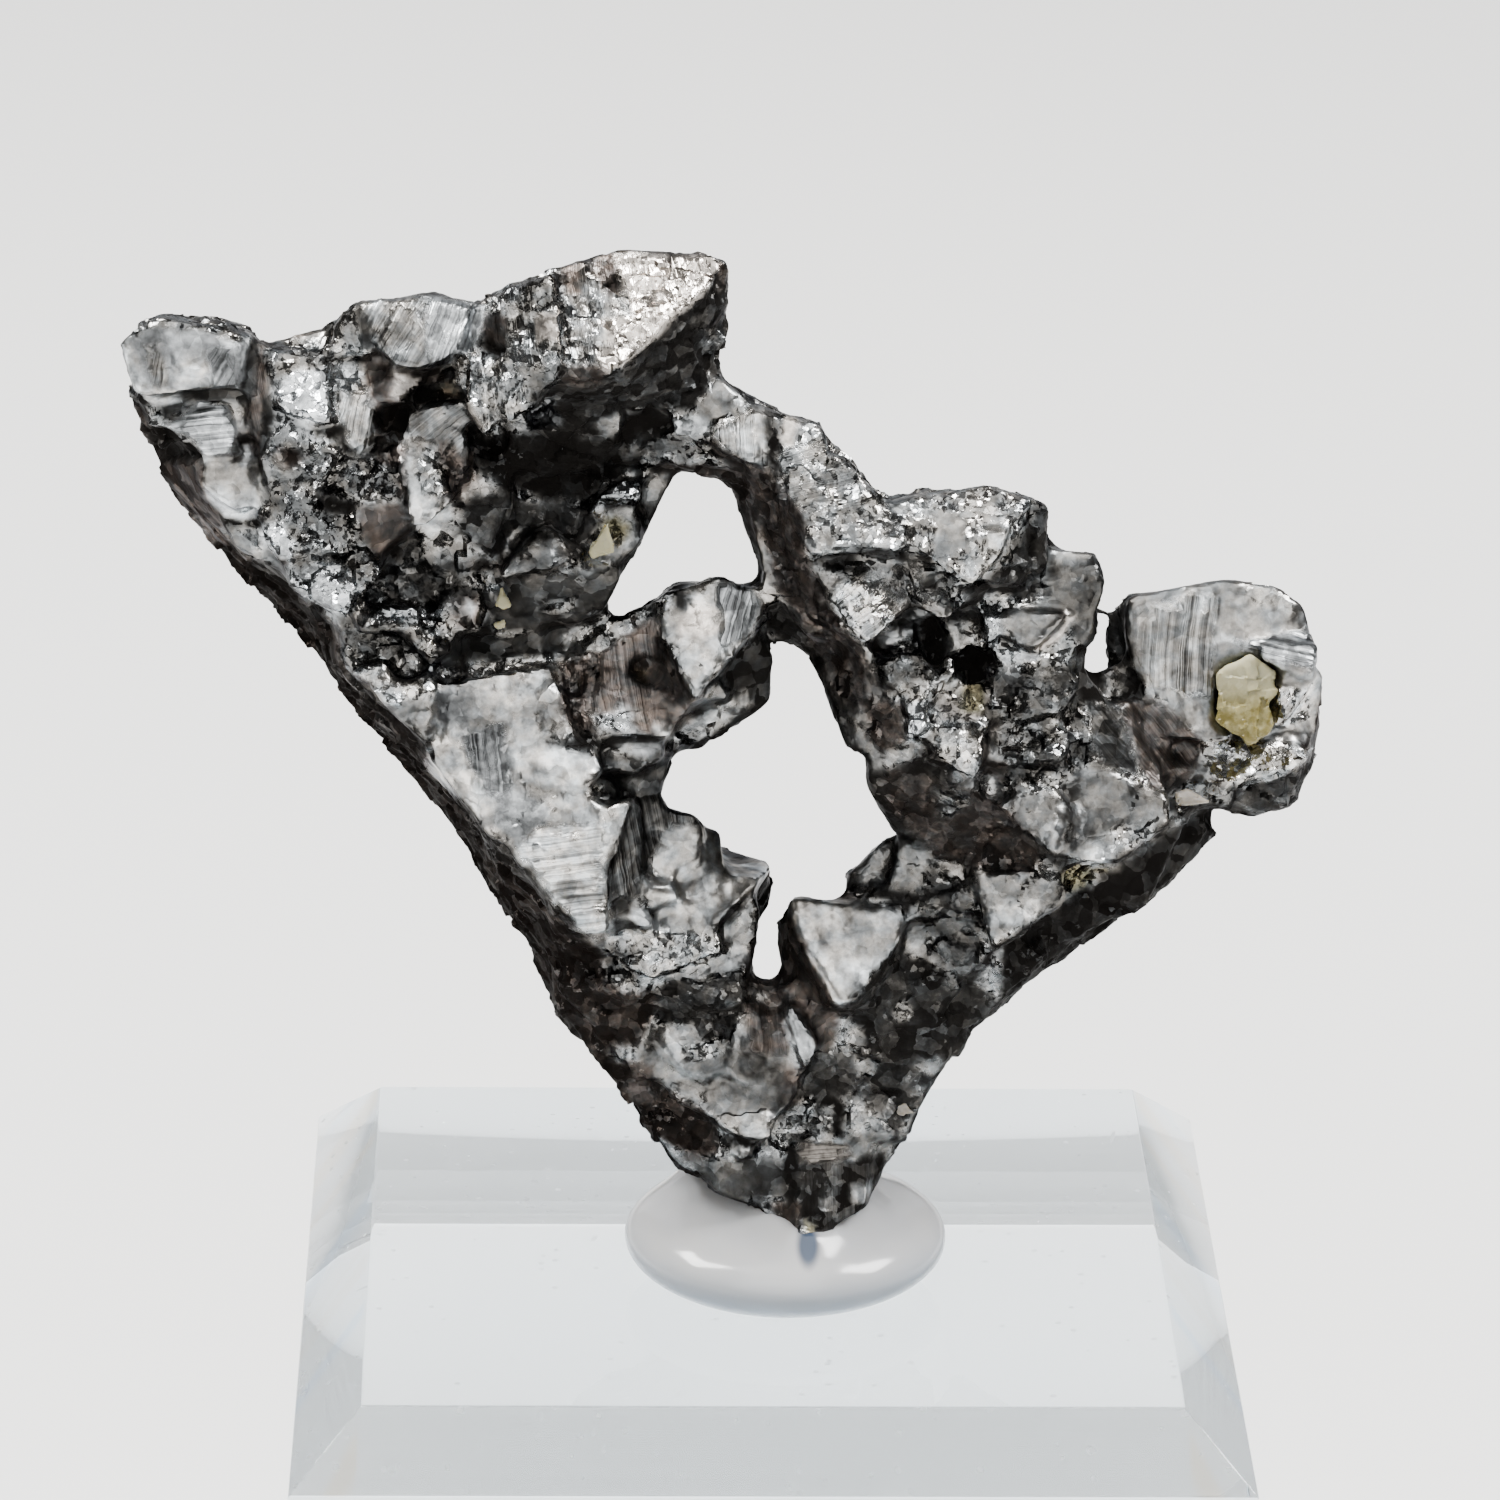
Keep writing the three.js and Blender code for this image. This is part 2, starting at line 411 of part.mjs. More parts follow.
/** The pyramid-shaped crystal at the lower right of the big gap, and what stands behind it. */
function pyramid() {
  return [
    between(
      [0, 14, -1.6], [1.6, 13.8, -1.6], [4, 13.45, -1.8], [3.9, 12.5, -2.3], [3.2, 11.3, -3],
      [2.2, 10.15, -3.6],
      [1.9, 10.05, -3.7], [1.4, 10.6, -3.4], [0.7, 11.9, -2.8], [0.2, 13, -2.2],
      [-0.1, 13.6, -0.6], [-0.4, 12.8, 0], [-0.4, 12, 0.2], [-0.2, 10.6, 0], [0.6, 9.6, -1],
      [1, 13.7, 2.5], [3.6, 13, 2.5], [3.4, 9.8, 0.5], [1, 9.4, 1.5]),
    crystal([[1.7, 14.5], [3.3, 16.3], [4.6, 14.8], [4.3, 13.9], [2.8, 13.9]], -0.6,
      { lean: 0.3 }),
    crystal([[3.6, 16.3], [5.6, 16.2], [6, 15.2], [4.9, 14.7], [3.9, 15.3]], -1, { lean: 0.2 }),
    crystal([[4.4, 14], [4.9, 14.2], [4.8, 12.9], [4.4, 13.2]], -1.8, { lean: 0.1 }),
    crystal([[5.2, 14.3], [6, 14.4], [6, 13.5], [5.5, 13.2]], -2, { lean: 0.2 }),
    crystal([[4.8, 12.8], [6.2, 13.3], [6.6, 12], [6.2, 11.1], [5, 11.2]], -1.4, { lean: 0.3 }),
    crystal([[3.3, 11.2], [4.7, 11.4], [5.9, 10.9], [5.5, 10.2], [3.7, 10.2]], -1.6, { lean: 0.3 }),
  ];
}

/** The rubbly lower body of the V, down to the foot held by the tack. */
function lowerBody() {
  return [
    crystal([[-5.9, 12.7], [-4.3, 13.2], [-2.4, 12.8], [-2.1, 12], [-4.6, 11], [-6.3, 12]], -3),
    crystal([[-4.9, 11.5], [-4.5, 10.9], [-5.2, 10], [-6.8, 11]], -2.6, { lean: 0.7 }),
    crystal([[-4.9, 11.2], [-2, 11.8], [-1.3, 11.5], [-1.4, 10.2], [-2.6, 9.8], [-4.4, 10.3]], -2.4),
    crystal([[-8, 11.2], [-6.9, 11.6], [-5.6, 9.4], [-6.2, 8], [-7.9, 10]], -1.1, { lean: 0.1 }),
    crystal([[-5.7, 9.1], [-4.9, 9.2], [-4.3, 8.7], [-4.3, 7.8], [-4.9, 7.4], [-5.7, 8]],
      -2, { lean: 0.2, turn: -0.4 }),
    crystal([[-4.5, 7.8], [-3.2, 8], [-0.2, 6.3], [-0.7, 5.1], [-1.6, 5.2], [-4, 6.9]], -3, { lean: 0.7 }),
    crystal([[-4.1, 9.6], [-1.9, 8.9], [-1.9, 7.9], [-2.8, 7.4], [-4, 7.9], [-4.4, 8.7]], -2.6),
    crystal([[-1.9, 9.6], [-0.8, 9.9], [0.1, 9], [0.35, 6.8], [0, 6.2], [-1.9, 7.5]], -2.7,
      { lean: 0.3, turn: 0.25 }),
    crystal([[-0.1, 10.1], [0.2, 10], [1.1, 8.7], [0.6, 7.6]], -2.9, { lean: 0.2 }),
    crystal([[-2.1, 4.9], [-1.3, 4.9], [-1.2, 4.6], [-1.6, 4.3]], -3, { lean: 0.8, reach: 2.5 }),
    crystal([[-5.4, 6.8], [-4, 7.2], [-2.5, 5.8], [-2.2, 4.9], [-2.6, 3.4], [-3.6, 4]],
      -1.9, { lean: 0.2 }),
    crystal([[-2.4, 5.6], [-0.6, 5.2], [0.1, 4.4], [0.1, 3], [-1, 2.6], [-2.6, 3.2]], -2.6, { lean: 0.15 }),
    crystal([[-1.2, 3.8], [0.4, 4], [0.9, 1.5], [-0.2, 1.9], [-1, 2.4]], -2.8, { lean: 0.4 }),
    crystal([[0.3, 4.9], [2.2, 5.1], [2.9, 4.5], [2.8, 2.8], [0.8, 1.2], [0.2, 2]], -3, { lean: 0.45 }),
    crystal([[1, 8.4], [3.3, 7.9], [3.7, 5.2], [2.4, 5], [1.2, 5.4], [0.5, 6.6]], -2,
      { lean: 0.3 }),
    crystal([[2.3, 8.8], [6, 8.8], [4.2, 6.5], [3, 7.2]], -1.3, { lean: 0.2 }),
    crystal([[3.2, 10.2], [5.4, 10], [5, 9.1], [3.4, 9]], -1.9, { lean: 0.3 }),
  ];
}

/** Brown side faces that close the group along its lower left, further back than the bright fronts. */
function lowerLeftSide() {
  return [
    between(
      [-20.8, 30.6, -1.6], [-19.8, 28.9, -1.8], [-18.9, 27.4, -2],
      [-22, 31.9, 0.4], [-21.3, 30.3, 1], [-20.7, 28.6, 1.5], [-19.6, 27, 1.8],
      [-19.4, 30, 4.2], [-18, 28, 4.4]),
    between(
      [-18.9, 27.6, -1.9], [-17, 25.7, -2], [-15.2, 23.9, -2],
      [-19.7, 27.1, 1.7], [-18.2, 25.3, 1.9], [-17.2, 24, 2], [-16, 22.8, 2],
      [-17.5, 27.5, 4.6], [-14.8, 24.6, 4.8]),
    between(
      [-14.9, 23.5, -2], [-14.7, 22, -2.4], [-13.4, 20.7, -2.9], [-12.1, 19.3, -3],
      [-16.2, 23.1, 1.9], [-14.8, 21.1, 2.1], [-13.5, 19.5, 2.2],
      [-13.5, 23, 4.8], [-11.5, 20, 4.8]),
    between(
      [-12.1, 19.3, -3.2], [-10.8, 17.4, -3.8], [-9.9, 16.2, -3.9],
      [-13.7, 19.8, 1.8], [-12.7, 18.3, 2], [-11.2, 16.2, 2],
      [-11, 19, 4.7], [-9.6, 17, 4.6]),
    between(
      [-10, 16.4, -3.8], [-9.7, 15.7, -4], [-8.1, 14, -3.7],
      [-11.3, 16.4, 1.9], [-10.4, 14.9, 2], [-9.5, 13.4, 1.9], [-9, 12.6, 1.8],
      [-9.4, 16.4, 4.6], [-7.4, 13.8, 4.3]),
    between(
      [-8, 13.7, -3.4], [-7, 12.5, -3.1], [-6, 11.5, -2.4],
      [-9.2, 13, 1.7], [-8.2, 11.4, 1.5], [-7.9, 10.6, 1.3], [-7.5, 9.4, 1.1],
      [-6.5, 12.5, 3.8], [-6, 10, 3.4]),
  ];
}

/** The solid middle of the group, arm by arm: what the outer crystals grow from. */
function middle() {
  const core = (face, front, { back = CORE_BACK, ...options } = {}) => crystal(face, front,
    { lean: 0.1, reach: back - front, ...options });
  return [
    core([[-22.1, 33.2], [-20.9, 34.2], [-18.8, 34], [-17.6, 33.4], [-16.4, 31], [-17.5, 29],
      [-20.9, 29.6]], -1.6),
    core([[-17.6, 33.1], [-15.7, 32.9], [-13.4, 30.5], [-13, 28], [-17, 28.5]], -1.8),
    core([[-15.2, 33.4], [-14.6, 34.4], [-12, 34.9], [-10.4, 34.5], [-10.4, 31.4], [-13, 28.5],
      [-14.6, 30]], -1.8),
    core([[-20, 29.2], [-16, 31], [-12.8, 29.6], [-12.6, 27], [-14, 24.8], [-15.2, 24], [-18.4, 26.4]], -2),
    core([[-14, 26.5], [-12.5, 30], [-5, 31], [-3.8, 29], [-5.4, 25.6], [-8, 23.5], [-14.5, 22.2]], -1.1),
    core([[-10.2, 34], [-8.6, 35.3], [-6.5, 36.1], [-3.6, 36.1], [-2.5, 35.4], [-2.8, 32], [-8, 30.2]],
      -1.4),
    core([[-4.5, 31.2], [-2.4, 32.2], [0.4, 30.4], [-0.4, 28.4], [-4.8, 29.2]], -1.2),
    core([[-1.5, 31], [0.7, 30.4], [3.2, 27.7], [3.6, 25], [0.5, 23], [-1, 25], [-1.8, 28.6]], -1.7),
    core([[2.6, 27.8], [4.2, 28.3], [7.8, 28], [8, 26.4], [7.4, 24], [2, 23.6]], -1.8),
    core([[2, 24.4], [8, 26.4], [9.8, 26.2], [10, 23.1], [8, 21.5], [2, 23.4]], -1.8),
    core([[1.5, 22.4], [4, 24], [9.6, 22.4], [8.5, 18], [5.6, 17.2], [2.8, 19.6]],
      -1.8, { shift: [0.6, 0.4] }),
    core([[6, 20.4], [9.5, 22], [12.3, 18.5], [12.5, 17], [10.5, 15.2], [8.5, 15.3], [6, 17]],
      -1.8, { back: 4.4 }),
    core([[3.6, 16.2], [7, 18], [9, 15.3], [9.1, 14], [7, 12.4], [3.2, 14.4]],
      -1.2, { shift: [0.5, -0.2] }),
    core([[10.7, 24.5], [14, 25.2], [16.6, 24.6], [17.4, 22], [16.1, 17.8], [14.8, 17.1], [11.8, 20.5]],
      1.2, { back: 5 }),
    core([[9.6, 21.8], [11.3, 22.6], [13.2, 18], [12.5, 16.7], [8.8, 16.6]], 0.2, { back: 5 }),
    core([[8, 16], [13.4, 17.1], [14, 16.4], [12, 13.9], [6, 9.4], [4.5, 12.5]], 1.4, { back: 4.6 }),
    core([[-13.6, 21.5], [-3.6, 24.4], [-3.8, 19.2], [-6, 12.9], [-8.3, 14.6]], -1.5),
    core([[-4.5, 24.4], [-3.9, 24.9], [-1.6, 25], [-1.1, 24], [-1.3, 20.8], [-3, 19.4], [-5, 19.8]], -0.8,
      { back: 2, taper: 0.75, shift: [-0.3, 0.8] }),
    core([[-5, 17], [-3.4, 16.3], [-0.9, 13.6], [-1.3, 9.6], [-5, 7.2], [-7.7, 10.6]], -1.7),
    core([[-7.4, 9.2], [-3, 3.6], [0.8, 1.8], [2.7, 2.6], [6, 9.2], [4, 11], [-6, 11]], -1.6,
      { taper: 0.75, shift: [0, 0.6] }),
    core([[0, 13.2], [4.4, 14.8], [6.3, 12], [5, 9.5], [-0.2, 10.4]],
      -0.8, { taper: 0.8, shift: [0.4, -0.4] }),
    core([[3, 13], [6.5, 13], [8.8, 11.8], [6.2, 9.3], [2.5, 10]], -0.9),
  ];
}

/** Crystals of the side that faces away, in the same habit as the front. */
function rearSide() {
  return [
    rearCrystal([[-21.4, 33.1], [-18, 33.8], [-16.8, 31], [-18.6, 28.8], [-20.9, 30]],
      3.6, { lean: -0.5, turn: 0.5 }),
    rearCrystal([[-18, 33.2], [-14.6, 34.1], [-12.6, 31.4], [-14.8, 28.2], [-18, 29.4]],
      4.6, { lean: -0.6, turn: 0.1 }),
    rearCrystal([[-14.2, 34.4], [-10.2, 34.6], [-9.2, 32], [-11.6, 29.6], [-14.2, 31]],
      4.9, { lean: -0.7 }),
    rearCrystal([[-10.4, 34.4], [-6.4, 36], [-2.7, 35.8], [-2.8, 32.2], [-6, 30.2], [-10, 31]],
      5, { lean: -0.6, turn: -0.1 }),
    rearCrystal([[-19.9, 28.8], [-16, 30], [-13.6, 27.2], [-15.4, 24.1], [-18.2, 25.9]],
      4.4, { lean: 0.2, turn: 0.5 }),
    rearCrystal([[-14.6, 29], [-10.4, 30.4], [-8, 27.4], [-10.4, 23.5], [-14.5, 24]],
      5.5, { lean: -0.1, turn: -0.1 }),
    rearCrystal([[-10.4, 30.6], [-5, 31], [-4.1, 28.6], [-6, 25], [-10, 24.6]],
      4.4, { lean: 0.1, turn: -0.3 }),
    rearCrystal([[-5, 31.3], [-2.2, 31.9], [0.6, 30.3], [-0.6, 28.8], [-4.5, 29.2]], 3, { lean: -0.5 }),
    rearCrystal([[-13.9, 23.2], [-9.2, 23.5], [-7.4, 20.4], [-9.6, 16.9], [-12.4, 19.2]],
      5, { lean: 0, turn: 0.4 }),
    rearCrystal([[-9.2, 22], [-5, 23.4], [-4, 19.8], [-5.4, 15.9], [-9.3, 17.4]],
      5.2, { lean: -0.2, turn: -0.4 }),
    rearCrystal([[-10.1, 17.4], [-5.6, 17.9], [-4.6, 14.6], [-6.3, 11.7], [-9.1, 13.4]],
      4.6, { lean: 0.1, turn: 0.3 }),
    rearCrystal([[-8, 12.9], [-3, 14.3], [-1.7, 11.2], [-3.6, 7.9], [-7.4, 9]],
      4.6, { lean: -0.2, turn: 0.2 }),
    rearCrystal([[-5.6, 9.6], [-0.6, 10.4], [1.6, 7.4], [-0.2, 3.3], [-3.8, 4.6]],
      3.4, { lean: 0.35, turn: 0.1 }),
    rearCrystal([[0.2, 10.4], [5.1, 10.8], [5.5, 8.2], [3.3, 4.4], [0.4, 4.4]],
      3.2, { lean: 0.3, turn: -0.4 }),
    rearCrystal([[0, 13.4], [3.6, 14.6], [6.2, 12.4], [4.4, 9.2], [0.4, 9.6]], 3.8, { turn: -0.15 }),
    rearCrystal([[4.2, 17.2], [8, 18.4], [9.8, 15.2], [7.6, 12], [4.2, 13.2]],
      4.4, { lean: 0.2, turn: -0.3 }),
    rearCrystal([[-0.8, 30.4], [1.6, 29.4], [3.5, 26.6], [1.8, 23.6], [-1, 26]],
      4.2, { lean: -0.4, turn: 0.3 }),
    rearCrystal([[2.6, 27.8], [7.7, 28.1], [9.6, 25.2], [6.6, 22.6], [2.4, 23.6]],
      5, { lean: -0.6, turn: -0.1 }),
    rearCrystal([[2.8, 23.8], [9.2, 24], [9.6, 20.6], [6.6, 17.8], [3.2, 19.8]],
      4.9, { lean: 0.1, turn: -0.25 }),
    rearCrystal([[8.2, 21.2], [11.8, 20.8], [13.2, 17.4], [10.6, 15.2], [7.8, 16.8]],
      5.6, { lean: 0, turn: -0.2 }),
    rearCrystal([[11, 24.4], [15.8, 24.9], [17, 21], [14.6, 17.6], [11.8, 19.6]], 6.2, { turn: -0.3 }),
    rearCrystal([[8.6, 16], [13.2, 17], [12.1, 13.8], [9.6, 12.4], [7.2, 12.8]],
      5, { lean: 0.4, turn: -0.3 }),
  ];
}

/** Pits and undercuts that go in behind the front crystals. */
function pits() {
  const pit = (face, front, depth) => crystal(face, front, { lean: 0, reach: depth, taper: 0.6 });
  return [
    pit([[-9.5, 28.3], [-7.4, 28.6], [-7.3, 28], [-9.3, 27.8]], -3, 3.4),
    pit([[-6.9, 29.3], [-6.4, 29.8], [-5.6, 29.8], [-5.6, 29.2]], -3, 3.2),
    pit([[5.3, 22.7], [5.7, 22.95], [6.3, 21.9], [5.7, 21.5]], -4, 4.6),
    pit([[-8, 19.9], [-7, 20.1], [-6.2, 19.7], [-6.3, 19.35], [-7.9, 19.5]], -5, 3.6),
    pit([[9.05, 18.2], [9.6, 18.3], [9.7, 17.2], [9.45, 16.8]], -4.5, 3.2),
    pit([[-1.9, 10.4], [-1.4, 10.3], [-1.5, 9], [-1.9, 9.1]], -3.6, 3),
    pit([[0.1, 4.6], [0.5, 4.5], [0.5, 3.2], [0.1, 3.1]], -3.6, 3),
    pit([[-12.9, 31], [-11.3, 32.3], [-11.1, 31.5], [-12.2, 31.2]], -3.6, 3.2),
  ];
}

/** The clear way through the big gap, wider at its back. */
function gapThrough() {
  const { left, right, low, high, front, back, flare } = WINDOW;
  const frame = (y, grow) => [
    new THREE.Vector3(left - grow, y, low - grow),
    new THREE.Vector3(right + grow, y, low - grow),
    new THREE.Vector3(right + grow, y, high + grow),
    new THREE.Vector3(left - grow, y, high + grow),
  ];
  return [...frame(front, 0), ...frame(0, 0), ...frame(back, flare)];
}

const GRAINS = {
  yellow_grain_large: {
    colour: 0xc9bb86,
    corners: () => crystal([[14.2, 22], [15.2, 22.5], [16, 22.1], [15.8, 19.9], [15.2, 19.4], [14.1, 20.3]],
      -0.7, { lean: 0.3, reach: 1.6, taper: 0.7 }),
  },
  yellow_grain_flake: {
    colour: 0xb3a67a,
    corners: () => crystal([[-6.15, 27.2], [-5.9, 26.1], [-6.7, 25.85], [-6.8, 26.1]], -2.9,
      { lean: 0.2, reach: 0.6, taper: 0.8 }),
  },
  yellow_grain_triangular: {
    colour: 0xbdb08c,
    corners: () => crystal([[-9.65, 24.95], [-9.3, 24.2], [-9.6, 24.05], [-9.9, 24.2]],
      -3, { reach: 0.6, taper: 0.8 }),
  },
  yellow_grain_small: {
    colour: 0xa89d80,
    corners: () => crystal([[-9.55, 23.75], [-9.5, 23.5], [-9.8, 23.4], [-9.95, 23.6]], -2.9,
      { reach: 0.5, taper: 0.8 }),
  },
  pale_grain: {
    colour: 0xcbbfb2,
    corners: () => crystal([[12.8, 17.7], [13.2, 17.9], [14, 17.4], [12.9, 17.3]], -1.2,
      { lean: 0.6, reach: 0.8, taper: 0.8 }),
  },
  white_bead: {
    colour: 0xd8d2c4,
    corners: () => crystal([[3.7, 6.4], [4, 6.55], [4.35, 6.1], [3.75, 6.1]], -0.6,
      { lean: 0.2, reach: 0.6, taper: 0.7 }),
  },
};

/** Corners moved outwards from their middle by a clearance. */
function grown(corners, clearance) {
  const total = corners.reduce((sum, corner) => sum.add(corner), new THREE.Vector3());
  const centre = total.divideScalar(corners.length);
  return corners.map((corner) => {
    const outward = corner.clone().sub(centre).normalize();
    return corner.clone().addScaledVector(outward, clearance);
  });
}

/** Joins a list of crystals into one solid. */
function joined(crystals) {
  const solids = crystals.map((corners) => solidOf(new ConvexGeometry(corners)));
  return solids.reduce((sum, solid) => sum.add(solid));
}

/** The largest outer body of a solid, without closed bubbles and loose crumbs. */
function wholeBody(solid) {
  return solid.decompose().sort((one, other) => other.volume() - one.volume())[0];
}

/** The fused crystal group, with its pits, the clear way through it and the pockets for the grains. */
function clusterSolid() {
  const grownTogether = joined([
    ...middle(),
    ...rearSide(),
    ...lowerLeftSide(),
    ...lowerRightRear(),
    ...leftKnob(),
    ...leftArmFront(),
    ...leftCrest(),
    ...crest(),
    ...hollowUnderCrest(),
    ...leftLedges(),
    ...broadFace(),
    ...centreMass(),
    ...centreBranch(),
    ...neck(),
    ...rightArmBlocks(),
    ...rightArmWall(),
    ...rightArmMiddle(),
    ...lowerRightBlocks(),
    ...rightKnob(),
    ...stub(),
    ...pyramid(),
    ...lowerBody(),
  ]);
  const pockets = Object.values(GRAINS).map(({ corners }) => grown(corners(), CLEARANCE));
  const hollows = joined([...pits(), ...pockets, gapThrough()]);
  return wholeBody(grownTogether.subtract(hollows));
}

/** The hollow that the foot presses into the tack, a little wider than the foot. */
function socketCorners(cluster) {
  const reach = TACK_RADIUS * 2;
  const top = TACK_HEIGHT + CLEARANCE;
  const square = [[-reach, -reach], [reach, -reach], [reach, reach], [-reach, reach]];
  const slab = [0, top].flatMap((z) => square.map(([x, y]) => new THREE.Vector3(x, y, z)));
  const foot = geometryOf(cluster.intersect(solidOf(new ConvexGeometry(slab))));
  return grown(cornersOf(foot), CLEARANCE);
}

/** The blob of tack: a squashed ball that has settled flat on the block. */
function tackGeometry() {
  const lowest = -THREE.MathUtils.degToRad(TACK_UNDERCUT_DEGREES);
  const half = TACK_HEIGHT / (1 - Math.sin(lowest));
  const profile = [new THREE.Vector2(0, 0)];
  for (let ring = 0; ring < TACK_RINGS; ring += 1) {
    const rise = lowest + (ring / TACK_RINGS) * (Math.PI / 2 - lowest);
    const height = half * (Math.sin(rise) - Math.sin(lowest));
    profile.push(new THREE.Vector2(TACK_RADIUS * Math.cos(rise), height));
  }
  profile.push(new THREE.Vector2(0, TACK_HEIGHT));
  const blob = new THREE.LatheGeometry(profile, TACK_SEGMENTS);
  blob.rotateX(Math.PI / 2);
  return blob;
}

/** The clear block: upright sides, and a broad bevel round its top. */
function blockGeometry() {
  const square = (half, z) => [[-half, -half], [half, -half], [half, half], [-half, half]]
    .map(([x, y]) => new THREE.Vector3(x, y, z));
  return new ConvexGeometry([
    ...square(BLOCK_SIDE / 2, 0),
    ...square(BLOCK_SIDE / 2, BLOCK_HEIGHT - BEVEL_DROP),
    ...square(BLOCK_SIDE / 2 - BEVEL_RUN, BLOCK_HEIGHT),
  ]);
}

/** A named piece with its own colour and finish. */
function piece(name, geometry, { colour, roughness, metalness = 0, opacity = 1 }) {
  const material = new THREE.MeshStandardMaterial({
    color: colour,
    roughness,
    metalness,
    opacity,
    transparent: opacity < 1,
    flatShading: true,
  });
  const mesh = new THREE.Mesh(geometry, material);
  mesh.name = name;
  return mesh;
}

const specimen = new THREE.Group();
specimen.position.copy(FOOT);

const cluster = clusterSolid();
specimen.add(piece('acanthite_cluster', geometryOf(cluster), ACANTHITE));

const tack = solidOf(tackGeometry()).subtract(solidOf(new ConvexGeometry(socketCorners(cluster))));
specimen.add(piece('mineral_tack', geometryOf(wholeBody(tack)), MILKY_TACK));

for (const [name, { colour, corners }] of Object.entries(GRAINS)) {
  specimen.add(piece(name, welded(new ConvexGeometry(corners())), { colour, roughness: 0.4 }));
}

const part = new THREE.Group();
part.add(piece('acrylic_base', welded(blockGeometry()), CLEAR_ACRYLIC));
part.add(specimen);

export default part;
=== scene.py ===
"""Looks of an acanthite specimen that stands in a blob of tack on a clear acrylic block."""

import logging
import math
from collections.abc import Callable
from dataclasses import dataclass, field
from enum import Enum

import bpy
import numpy as np
from mathutils import Matrix, Vector
from mathutils.bvhtree import BVHTree
from mathutils.kdtree import KDTree


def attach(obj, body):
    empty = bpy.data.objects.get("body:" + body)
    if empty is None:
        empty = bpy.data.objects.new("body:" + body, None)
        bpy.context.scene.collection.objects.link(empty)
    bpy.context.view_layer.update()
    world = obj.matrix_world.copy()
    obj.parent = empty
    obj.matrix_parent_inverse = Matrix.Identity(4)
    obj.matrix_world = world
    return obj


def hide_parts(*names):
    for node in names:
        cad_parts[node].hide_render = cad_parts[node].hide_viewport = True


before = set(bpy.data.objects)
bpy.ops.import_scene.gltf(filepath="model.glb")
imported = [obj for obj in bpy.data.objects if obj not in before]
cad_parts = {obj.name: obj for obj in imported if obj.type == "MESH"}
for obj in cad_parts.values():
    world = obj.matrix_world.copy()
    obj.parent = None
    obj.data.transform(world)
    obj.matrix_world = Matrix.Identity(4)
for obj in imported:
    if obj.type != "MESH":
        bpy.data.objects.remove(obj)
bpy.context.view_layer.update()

MM = 0.001
LOG = logging.getLogger("acanthite")

# The specimen's foot, and the eye that the outlined faces are seen from, measured from the foot.
FOOT = np.array((0.6, -3.3, 19.0))
SEEN_FROM = np.array((-7.3, -246.9, 110.4))

YELLOW_NODES = ("yellow_grain_large", "yellow_grain_flake", "yellow_grain_triangular", "yellow_grain_small")
PALE_NODES = ("pale_grain", "white_bead")
BURIED_GRAINS = YELLOW_NODES[1:] + PALE_NODES[:1]
BEAD_NODE = PALE_NODES[1]
KEPT_MARKS = ("tone", "warmth", "brown", "yellow", "rough", "streak", "across")

Colour = tuple[float, float, float]
Place = tuple[float, float, float]
Spot = tuple[float, float]
Tree = bpy.types.NodeTree
Node = bpy.types.Node
Socket = bpy.types.NodeSocket
Piece = bpy.types.Object
Material = bpy.types.Material
Number = Socket | float
Tint = Socket | Colour
Openness = tuple[KDTree, np.ndarray]


# Small helpers


def alone(piece: Piece) -> None:
    """Makes a piece the only selected and active object.

    Args:
        piece: the object that the next operators act on.
    """
    bpy.ops.object.select_all(action="DESELECT")
    piece.select_set(True)
    bpy.context.view_layer.objects.active = piece


def finish_modifier(piece: Piece, kind: str, **settings: object) -> None:
    """Adds a modifier and applies it.

    Args:
        piece: the object to change.
        kind: Blender's name of the modifier.
        **settings: the modifier's own settings.
    """
    modifier = piece.modifiers.new(kind.lower(), kind)
    for name, value in settings.items():
        setattr(modifier, name, value)
    alone(piece)
    bpy.ops.object.modifier_apply(modifier=modifier.name)


def in_edit_mode(piece: Piece, *steps: tuple[Callable, dict]) -> None:
    """Runs mesh operators on all of a piece.

    Args:
        piece: the object to change.
        *steps: pairs of an operator and its settings.
    """
    alone(piece)
    bpy.ops.object.mode_set(mode="EDIT")
    bpy.ops.mesh.select_all(action="SELECT")
    for operator, settings in steps:
        operator(**settings)
    bpy.ops.object.mode_set(mode="OBJECT")


def points_of(piece: Piece) -> np.ndarray:
    """The places of a piece's vertices.

    Args:
        piece: the object to read.

    Returns:
        One row for each vertex.
    """
    points = np.empty(len(piece.data.vertices) * 3)
    piece.data.vertices.foreach_get("co", points)
    return points.reshape(-1, 3)


def normals_of(piece: Piece) -> np.ndarray:
    """The normals at a piece's vertices.

    Args:
        piece: the object to read.

    Returns:
        One row for each vertex.
    """
    normals = np.empty(len(piece.data.vertices) * 3)
    piece.data.vertices.foreach_get("normal", normals)
    return normals.reshape(-1, 3)


def move_points(piece: Piece, points: np.ndarray) -> None:
    """Puts a piece's vertices at new places.

    Args:
        piece: the object to change.
        points: one row for each vertex.
    """
    piece.data.vertices.foreach_set("co", points.ravel())
    piece.data.update()


def keep_values(piece: Piece, name: str, values: np.ndarray) -> None:
    """Stores one number for each vertex, for the materials to read.

    Args:
        piece: the object that carries the numbers.
        name: the attribute's name.
        values: one number for each vertex.
    """
    attribute = piece.data.attributes.new(name, "FLOAT", "POINT")
    attribute.data.foreach_set("value", values.astype(np.float32))


